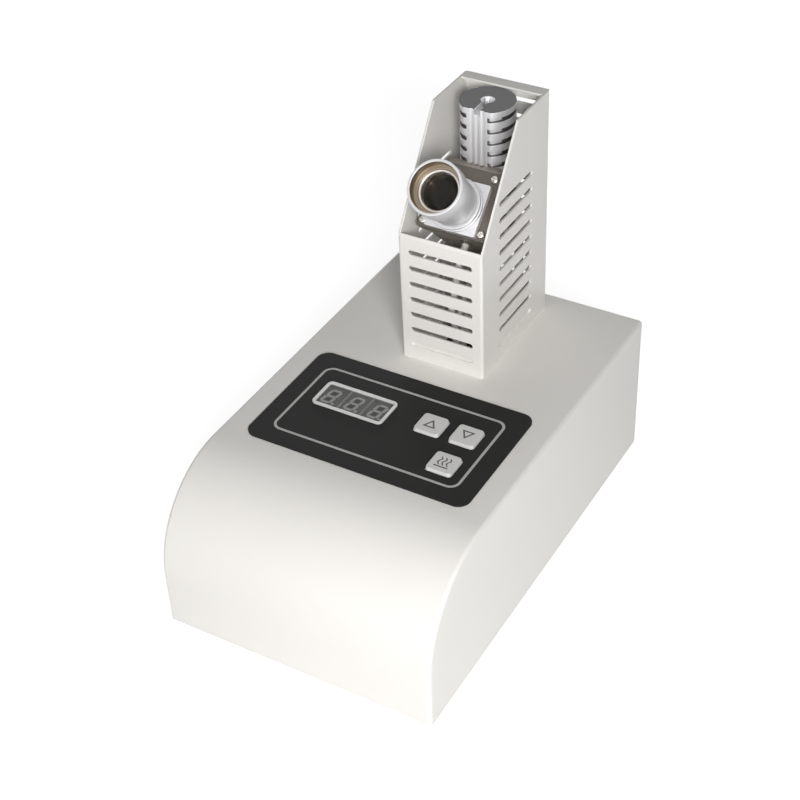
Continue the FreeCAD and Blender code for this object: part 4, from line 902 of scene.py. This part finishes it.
def add_shade():
    """The darker patches between the segments of a figure."""
    patches = []
    side_w = FIGURE_WIDTH - 2 * SEGMENT_THICK - PATCH_GAP_X
    side_h = (FIGURE_HEIGHT - 3 * SEGMENT_THICK) / 2 - PATCH_GAP_Y
    for side in (-1, 1):
        patch = add_plate(side_w, side_h, SEGMENT_RISE * PATCH_SHARE, PATCH_CORNER, segments=3)
        patch.data.transform(shift(0, side * (FIGURE_HEIGHT - SEGMENT_THICK) / 4, 0))
        patches.append(patch)
    shade = join_pieces(patches)
    shade.data.transform(lean_matrix())
    return shade


def add_module():
    """A module's box, with its face let in a little inside a light rim."""
    piece = add_plate(MODULE_WIDTH, MODULE_DEPTH, MODULE_HEIGHT, MODULE_CORNER, segments=2)
    for material in (module_case, finishes["digit"]):
        piece.data.materials.append(material)
    edit(piece)
    pick(piece, "faces", lambda f: f.normal.z > 0.99)
    bpy.ops.mesh.inset(thickness=FACE_BORDER * MM)
    bpy.ops.transform.translate(value=(0, 0, -FACE_SINK * MM))
    piece.active_material_index = 1
    bpy.ops.object.material_slot_assign()
    leave_edit()
    return piece


figures, shades, modules = [], [], []
for index, aside in enumerate(FIGURE_SHIFTS):
    x = module_low.x + (MODULE_WIDTH / 2 + index * (MODULE_WIDTH + MODULE_GAP)) * MM
    y = (module_low.y + module_high.y) / 2
    face = Matrix.Translation((x, y, module_high.z - FACE_SINK * MM)) @ shift(aside, 0, 0)
    box = Matrix.Translation((x, y, module_low.z))
    makers = ((figures, add_figure, face), (shades, add_shade, face), (modules, add_module, box))
    for pieces, add_piece, place in makers:
        piece = add_piece()
        piece.data.transform(place)
        pieces.append(piece)
finish_piece(join_pieces(figures), "display_segments", segment_white, "base")
finish_piece(join_pieces(shades), "display_shades", figure_shade, "base")
display = finish_piece(join_pieces(modules), "display_modules", None, "base")
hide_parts("digit_modules")
print("display modules are", round(MODULE_WIDTH, 2), "by", round(MODULE_DEPTH, 2), "mm")

# %% [markdown]
# The key signs are printed: a hollow triangle that points away from the user for up, one that points back for
# down, and three rising waves over a bar for heat. Each rides on its key, so it sinks when the key does.

# %% Key signs
SIGN_RISE = 0.04
TRIANGLE_SIZE = 4.3
TRIANGLE_LINE = 0.9
WAVE_COUNT = 3
WAVE_PITCH = 2.5
WAVE_HEIGHT = 6.2
WAVE_SWING = 0.6
WAVE_LINE = 0.85
WAVE_STEPS = 24
WAVE_TURNS = 1.25
WAVE_LIFT = 0.6
BAR_EXTRA = 0.6
sign_ink = make_finish("sign_ink", (0.09, 0.09, 0.09), 0.5, grain=2500, edge=0)


def key_top(name):
    low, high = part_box(name)
    return Vector(((low.x + high.x) / 2, (low.y + high.y) / 2, high.z))


def add_triangle():
    bpy.ops.mesh.primitive_circle_add(vertices=3, radius=TRIANGLE_SIZE * MM, fill_type="NGON")
    piece = bpy.context.object
    edit(piece, all_selected=True)
    bpy.ops.mesh.inset(thickness=TRIANGLE_LINE * MM, use_even_offset=True)
    bpy.ops.mesh.delete(type="FACE")
    raise_flat(SIGN_RISE)
    return piece


def wave_offset(share):
    return WAVE_SWING * math.sin(2 * math.pi * share * WAVE_TURNS)


def add_wave():
    """One rising wave: a short strip, whose far edge is extruded upwards step by step along a sine."""
    step = WAVE_HEIGHT / WAVE_STEPS
    piece = add_flat(WAVE_LINE, step, wave_offset(-0.5), (step - WAVE_HEIGHT) / 2)
    edit(piece, "EDGE")
    high = (step - WAVE_HEIGHT / 2) * MM
    pick(piece, "edges", lambda e: all(abs(v.co.y - high) < FINE_WELD for v in e.verts))
    for index in range(1, WAVE_STEPS):
        aside = wave_offset(index / WAVE_STEPS - 0.5) - wave_offset((index - 1) / WAVE_STEPS - 0.5)
        bpy.ops.mesh.extrude_region_move(TRANSFORM_OT_translate={"value": (aside * MM, step * MM, 0)})
    raise_flat(SIGN_RISE)
    return piece


def add_heat_sign():
    pieces = []
    for index in range(WAVE_COUNT):
        wave = add_wave()
        wave.data.transform(shift((index - 1) * WAVE_PITCH, WAVE_LIFT, 0))
        pieces.append(wave)
    bar = add_plate(WAVE_COUNT * WAVE_PITCH + BAR_EXTRA, WAVE_LINE, SIGN_RISE, 0.2, segments=2)
    bar.data.transform(shift(0, -WAVE_HEIGHT / 2 - WAVE_LIFT, 0))
    return join_pieces(pieces + [bar])


for way, turn, side in (("up", 0, -1), ("down", 180, 1)):
    sign = add_triangle()
    sign.data.transform(shift(0, side * TRIANGLE_SIZE / 4, 0) @ spin(turn))
    finish_piece(sign, "sign_" + way, sign_ink, "key_" + way, Matrix.Translation(key_top("key_" + way)))
finish_piece(add_heat_sign(), "sign_heat", sign_ink, "key_heat", Matrix.Translation(key_top("key_heat")))
print("key signs: up, down and heat")

# %% [markdown]
# The magnifier is turned from aluminium: a tube that widens to its mouth, a lens on a seat inside and a ring
# that holds it. Turning is modelled by extruding a circle step by step along its axis. The lathe's soft
# corners come from a Bevel modifier. Faces inside the mouth are then picked by their place and get a warm, dark
# finish, and those below the lens a black one, which keeps stray light from the eye.

# %% Eyepiece


def radius_between(corners, low, high, pick_one=max):
    """The largest or smallest distance from the axis between two heights, in millimetres."""
    return pick_one(r for height, r in corners if low <= height / MM <= high) / MM


LENS_HALF = 1.2
LENS_FIT = 0.06
LENS_STEPS = 8
DOME_R = 9.6
DOME_HEIGHT = 1.7
RING_FACE = 0.5
RING_CHAMFER = 0.7
tube_low, tube_high = TUBE_LOW / MM, TUBE_HIGH / MM
MOUTH_R = radius_between(TUBE, tube_high - 1, tube_high)
MOUTH_BORE_R = radius_between(TUBE, tube_high - 1, tube_high, min)
TAIL_R = radius_between(TUBE, tube_low, tube_low + 1)
TAIL_BORE_R = radius_between(TUBE, tube_low, tube_low + 1, min)
BASE_LOW = min(height for height, r in TUBE if r / MM > TAIL_R + 0.3) / MM
BASE_R = radius_between(TUBE, BASE_LOW - 0.1, BASE_LOW + 0.1)
SHELF = max(height for height, r in TUBE if r / MM < MOUTH_BORE_R - 0.5) / MM
SEAT_R = radius_between(TUBE, SHELF - 0.1, SHELF + 0.1, min)
BARREL_R = BASE_R + 0.3
FLARE_START = BASE_LOW + 7.0
FLARE_END = tube_high - 6.5
FLARE_STEPS = 10


def flare():
    """The outside of the tube: straight, then a soft S-curve out to the mouth."""
    points = []
    for step in range(FLARE_STEPS + 1):
        share = step / FLARE_STEPS
        ease = share * share * (3 - 2 * share)
        points.append((BARREL_R + (MOUTH_R - BARREL_R) * ease, FLARE_START + (FLARE_END - FLARE_START) * share))
    return points


def add_eyepiece():
    outline = [(TAIL_R, tube_low), (TAIL_R, BASE_LOW), (BASE_R, BASE_LOW)] + flare() + [
        (MOUTH_R, tube_high), (MOUTH_BORE_R, tube_high), (MOUTH_BORE_R, SHELF), (SEAT_R, SHELF),
        (SEAT_R, -LENS_HALF), (TAIL_BORE_R, -LENS_HALF), (TAIL_BORE_R, tube_low),
    ]
    piece = lathe(outline, sides=128)
    round_edges(piece, 0.32, segments=3, angle=40)
    for material in (turned_aluminium, warm_bore, black_bore):
        piece.data.materials.append(material)
    for face in piece.data.polygons:
        middle = face.center
        radius, height = math.hypot(middle.x, middle.y) / MM, middle.z / MM
        inward = face.normal.x * middle.x + face.normal.y * middle.y < 0
        bore = inward and radius < MOUTH_BORE_R + 0.1 and height < tube_high - 0.4
        shelf = face.normal.z > 0.5 and radius < MOUTH_BORE_R and height < SHELF + 0.5
        if inward and height < -LENS_HALF:
            face.material_index = 2
        elif bore or shelf:
            face.material_index = 1
    return piece


def add_lens():
    """A biconvex lens: a disc whose two faces swell towards the middle."""
    bend = (DOME_R ** 2 + DOME_HEIGHT ** 2) / (2 * DOME_HEIGHT)
    top = [(SEAT_R - LENS_FIT, LENS_HALF)]
    for step in range(LENS_STEPS + 1):
        r = DOME_R * (1 - step / LENS_STEPS)
        top.append((r + AXIS_GAP, LENS_HALF + DOME_HEIGHT - bend + math.sqrt(bend ** 2 - r ** 2)))
    bottom = [(r, -z) for r, z in reversed(top)]
    return lathe(top + bottom, sides=96)


def add_retainer():
    corners = along_axis("lens_retainer")
    ring_low, ring_high = min(corners)[0] / MM, max(corners)[0] / MM
    inner = min(r for _, r in corners) / MM
    outer = SEAT_R - LENS_FIT
    piece = lathe([
        (inner, ring_low), (outer, ring_low), (outer, ring_high), (inner + RING_FACE, ring_high),
        (inner, ring_high - RING_CHAMFER),
    ], sides=128)
    round_edges(piece, 0.15, segments=2, angle=30)
    return piece


eyepiece = finish_piece(add_eyepiece(), "eyepiece", None, "eyepiece", LENS_FRAME)
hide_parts("eyepiece_tube")
lens_piece = finish_piece(add_lens(), "magnifying_lens", finishes["lens_glass"], "eyepiece",
                          LENS_FRAME, smooth=40)
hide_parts("lens")
ring = finish_piece(add_retainer(), "lens_ring", bright_ring, "eyepiece", LENS_FRAME)
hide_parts("lens_retainer")
print("eyepiece mouth radius", round(MOUTH_R, 2), "mm, lens seat radius", round(SEAT_R, 2), "mm")

# %% [markdown]
# The mount is a square flange with two low rings turned on it. The flange is a cube with its corners
# rounded, and the rings and spigot are one turned piece that stands in it. The rings are a little wider than
# in the frame and well rounded, so that each catches the light along its edge. The bore is blackened.

# %% Lens mount
mount_low = min(height for height, _ in MOUNT) / MM
mount_high = max(height for height, _ in MOUNT) / MM
MOUNT_BORE_R = min(r for _, r in MOUNT) / MM
RING_GROWTH = 0.5
RING_TOP_R = radius_between(MOUNT, mount_high - 1.0, mount_high + 0.1) + RING_GROWTH
FLANGE_TOP = max(height for height, r in MOUNT if r / MM > 16.0) / MM
FLANGE_LOW = min(height for height, r in MOUNT if r / MM > 16.0) / MM
flange_low, flange_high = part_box("lens_mount")
FLANGE_W = (flange_high.x - flange_low.x) / MM
slope = LENS_TURN @ Vector((0, 1, 0))
FLANGE_V = 2 * max(abs((v.co - LENS_MIDDLE).dot(slope)) for v in nodes["lens_mount"].data.vertices) / MM
RING_SINK = 0.2
RING_STEP = 2.0
RING_ROUND = 0.7
RING_R = radius_between(MOUNT, FLANGE_TOP + 0.5, FLANGE_TOP + RING_STEP - 0.1) + RING_GROWTH


def add_mount():
    flange = add_plate(FLANGE_W, FLANGE_V, FLANGE_TOP - FLANGE_LOW, 1.0)
    flange.data.transform(shift(0, 0, FLANGE_LOW))
    spigot_r = radius_between(MOUNT, mount_low - 0.1, mount_low + 0.1)
    rings = lathe([
        (MOUNT_BORE_R, mount_low), (spigot_r, mount_low), (spigot_r, FLANGE_LOW + RING_SINK),
        (RING_R, FLANGE_LOW + RING_SINK), (RING_R, FLANGE_TOP + RING_STEP), (RING_TOP_R, FLANGE_TOP + RING_STEP),
        (RING_TOP_R, mount_high), (MOUNT_BORE_R, mount_high),
    ], sides=128)
    cut_away(flange, add_washer(AXIS_GAP, RING_R - 1, FLANGE_LOW - 2, FLANGE_TOP + 2, 64))
    round_edges(flange, 0.35, segments=3, angle=50)
    round_edges(rings, RING_ROUND, segments=4, angle=40)
    piece = join_pieces([flange, rings])
    for material in (turned_aluminium, black_bore):
        piece.data.materials.append(material)
    for face in piece.data.polygons:
        middle = face.center
        inward = face.normal.x * middle.x + face.normal.y * middle.y < 0
        face.material_index = int(inward and math.hypot(middle.x, middle.y) / MM < MOUNT_BORE_R + 0.3)
    return piece


mount = finish_piece(add_mount(), "magnifier_mount", None, "base", LENS_FRAME)
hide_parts("lens_mount")
print("flange", round(FLANGE_W, 1), "by", round(FLANGE_V, 1), "mm")

# %% [markdown]
# The core's front is milled flat on both sides of the capillary guides, and the gaps between its fins run out
# through the edges of that flat, as dark notches. The frame keeps the core round there, so a copy of its mesh
# is merged, and Boolean modifiers take away two side strips and a notch at both ends of each gap.

# %% Core with a flat front
FLAT_DEPTH = 12.6
STRIP_FROM = 4.9
NOTCH_FLOOR = 6.1
NOTCH_END = 10.6
NOTCH_HEIGHT = 2.56
FIN_PITCH = 6.6
FIRST_GAP = 4.6
GAP_COUNT = 5
CORE_R = (core_high.x - core_low.x) / 2 / MM
CORE_Y = CORE_AXIS_Y / MM
CORE_TOP_Z = core_high.z / MM
LEDGE_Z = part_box("viewing_head")[1].z / MM


def merged_copy(node, name):
    """A copy of a frame node's mesh with its doubles merged, ready to be carved."""
    piece = bpy.data.objects.new(name, nodes[node].data.copy())
    bpy.context.collection.objects.link(piece)
    edit(piece, "VERT", all_selected=True)
    bpy.ops.mesh.remove_doubles(threshold=FINE_WELD)
    leave_edit()
    return piece


def add_core():
    piece = merged_copy("heater_core", "carved_core")
    front, aside = CORE_Y - 2 * CORE_R, 2 * CORE_R
    cuts = [[(STRIP_FROM, CORE_Y - FLAT_DEPTH, LEDGE_Z, CORE_TOP_Z + 1)], []]
    for index in range(GAP_COUNT):
        z = CORE_TOP_Z - FIRST_GAP - index * FIN_PITCH
        cuts[1].append((NOTCH_FLOOR, CORE_Y - NOTCH_END, z - NOTCH_HEIGHT / 2, z + NOTCH_HEIGHT / 2))
    for blocks in cuts:
        cut_away(piece, join_pieces([
            add_block((side * near, front, low), (side * aside, back, high))
            for near, back, low, high in blocks for side in (-1, 1)
        ]))
    return piece


core = finish_piece(add_core(), "finned_core", faced_aluminium, "base", smooth=14.0)
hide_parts("heater_core")
print("core", len(core.data.polygons), "faces, flat front from", round(CORE_Y - FLAT_DEPTH, 2), "mm")

# %% [markdown]
# A pan-head screw is turned as a low dome, and its cross recess is cut by a Boolean with two crossed bars.
# One screw is modelled, then copied to each place where the frame has one, along its own direction.

# %% Cross-recessed screws
RECESS_LENGTH = 0.62
RECESS_WIDTH = 0.16
RECESS_DEPTH = 0.55
RIM_SHARE = 0.45
DOME_ANGLES = (0.45, 0.8, 1.15)
SCREW_AXIS_GAP = 0.03
TIP_SHARE = 0.75
TIP_HEIGHT = 0.4
FIRST_SPIN = 23
NEXT_SPIN = 37


def add_screw(head_r, head_h, shank_r, shank_l):
    """A screw whose head sits on the XY plane and whose shank points down, in millimetres."""
    outline = [(head_r, 0.0), (head_r, head_h * RIM_SHARE)]
    for angle in DOME_ANGLES:
        outline.append((head_r * math.cos(angle), head_h * (RIM_SHARE + (1 - RIM_SHARE) * math.sin(angle))))
    outline += [(SCREW_AXIS_GAP, head_h), (SCREW_AXIS_GAP, -shank_l), (shank_r * TIP_SHARE, -shank_l)]
    outline += [(shank_r, -shank_l + TIP_HEIGHT), (shank_r, 0.0)]
    screw = lathe(outline, sides=40)
    bars = []
    for turn in (0, 90):
        bar = add_plate(2 * head_r * RECESS_LENGTH, 2 * head_r * RECESS_WIDTH, head_h * 2, 0.1, segments=1)
        bar.data.transform(shift(0, 0, head_h * (1 - RECESS_DEPTH)) @ spin(turn))
        bars.append(bar)
    for bar in bars:
        cut_away(screw, bar)
    return screw


def separate_boxes(node):
    """The box and corners of each separate solid in a node, as (low, high, corners), in a fixed order."""
    mesh = bmesh.new()
    mesh.from_mesh(nodes[node].data)
    bmesh.ops.remove_doubles(mesh, verts=mesh.verts, dist=FINE_WELD)
    left = set(mesh.verts)
    boxes = []
    while left:
        stack = [left.pop()]
        group = []
        while stack:
            vertex = stack.pop()
            group.append(vertex.co.copy())
            for edge in vertex.link_edges:
                other = edge.other_vert(vertex)
                if other in left:
                    left.remove(other)
                    stack.append(other)
        low = Vector(min(co[i] for co in group) for i in range(3))
        high = Vector(max(co[i] for co in group) for i in range(3))
        boxes.append((low, high, group))
    mesh.free()
    return sorted(boxes, key=lambda box: tuple(round(x / MM, 2) for x in box[0]))


def replace_screws(node, axis, name):
    """Puts a cross-recessed screw over each screw of a node. axis points out of the head.

    Each size of screw is modelled once and copied, and every copy is turned a little further.
    """
    axis = Vector(axis).normalized()
    turn = Vector((0, 0, 1)).rotation_difference(axis).to_matrix().to_4x4()
    models, copies = {}, []
    for index, (low, high, corners) in enumerate(separate_boxes(node)):
        middle = (low + high) / 2
        heights = [(co - middle).dot(axis) for co in corners]
        sides = [((co - middle) - (co - middle).dot(axis) * axis).length for co in corners]
        head_r = max(sides) / MM
        seat = min(h for h, r in zip(heights, sides) if r / MM > head_r - 0.05) / MM
        head_h = max(heights) / MM - seat
        shank_l = seat - min(heights) / MM
        shank_r = max(r for h, r in zip(heights, sides) if h / MM < seat - 0.5) / MM
        sizes = tuple(round(size, 2) for size in (head_r, head_h, shank_r, shank_l))
        if sizes not in models:
            models[sizes] = add_screw(*sizes)
        screw = copy_of(models[sizes])
        place = Matrix.Translation(middle + axis * seat * MM)
        screw.data.transform(place @ turn @ spin(FIRST_SPIN + NEXT_SPIN * index))
        copies.append(screw)
    for model in models.values():
        bpy.data.objects.remove(model)
    piece = finish_piece(join_pieces(copies), name, finishes["screw_steel"], "base")
    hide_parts(node)


screw_sets = [
    ("tilt_plate_screws", LENS_AXIS, "cross_screws_tilt_plate"),
    ("guard_screws", (0, 1, 0), "cross_screws_guard"),
    ("foot_screws", (0, 0, -1), "cross_screws_feet"),
    ("cover_screws", (0, 0, -1), "cross_screws_cover"),
    ("power_post_screws", (0, 0, -1), "cross_screws_posts"),
    ("collar_screws", (0, 0, 1), "cross_screws_collar"),
]
for node, axis, name in screw_sets:
    replace_screws(node, axis, name)
print("screws replaced in", len(screw_sets), "nodes")

# %% [markdown]
# The rocker switch carries the two signs that every such switch has: a bar for on and a ring for off. They are
# moulded on the paddle's two slopes, so they rock with it.

# %% Switch marks
rocker_joint = next(joint for joint in frame["joints"] if joint["name"] == "power_rocker_turn")
ROCKER_PIVOT = Vector(rocker_joint["pos_m"])
MARK_RISE = 0.08
MARK_HEIGHT = 4.6
BAR_LINE, BAR_LENGTH = 0.7, 3.6
RING_INNER_R, RING_OUTER_R = 1.25, 1.85
mark_paint = make_finish("mark_paint", (0.75, 0.75, 0.73), 0.5, grain=2500, edge=0)


def slope_frame(side):
    """The middle of the paddle's upper or lower slope, as a frame whose Z points out of the slope."""
    best = None
    for face in nodes["power_rocker"].data.polygons:
        if face.normal.y < 0.9 or abs(face.center.z - ROCKER_PIVOT.z) < MM:
            continue
        if (face.center.z > ROCKER_PIVOT.z) == (side > 0) and (best is None or face.area > best.area):
            best = face
    outward = best.normal.copy()
    level = Vector((1, 0, 0))
    upward = outward.cross(level).normalized()
    z = ROCKER_PIVOT.z + side * MARK_HEIGHT * MM
    y = best.center.y - (z - best.center.z) * outward.z / outward.y
    return Matrix.Translation((ROCKER_PIVOT.x, y, z)) @ Matrix((level, upward, outward)).transposed().to_4x4()


bar_mark = add_plate(BAR_LINE, BAR_LENGTH, MARK_RISE, 0.15, segments=2)
finish_piece(bar_mark, "mark_on", mark_paint, "power_rocker", slope_frame(1))
ring_mark = add_washer(RING_INNER_R, RING_OUTER_R, 0, MARK_RISE, 40)
finish_piece(ring_mark, "mark_off", mark_paint, "power_rocker", slope_frame(-1))
print("switch marks: a bar", BAR_LENGTH, "mm long and a ring", 2 * RING_OUTER_R, "mm across")
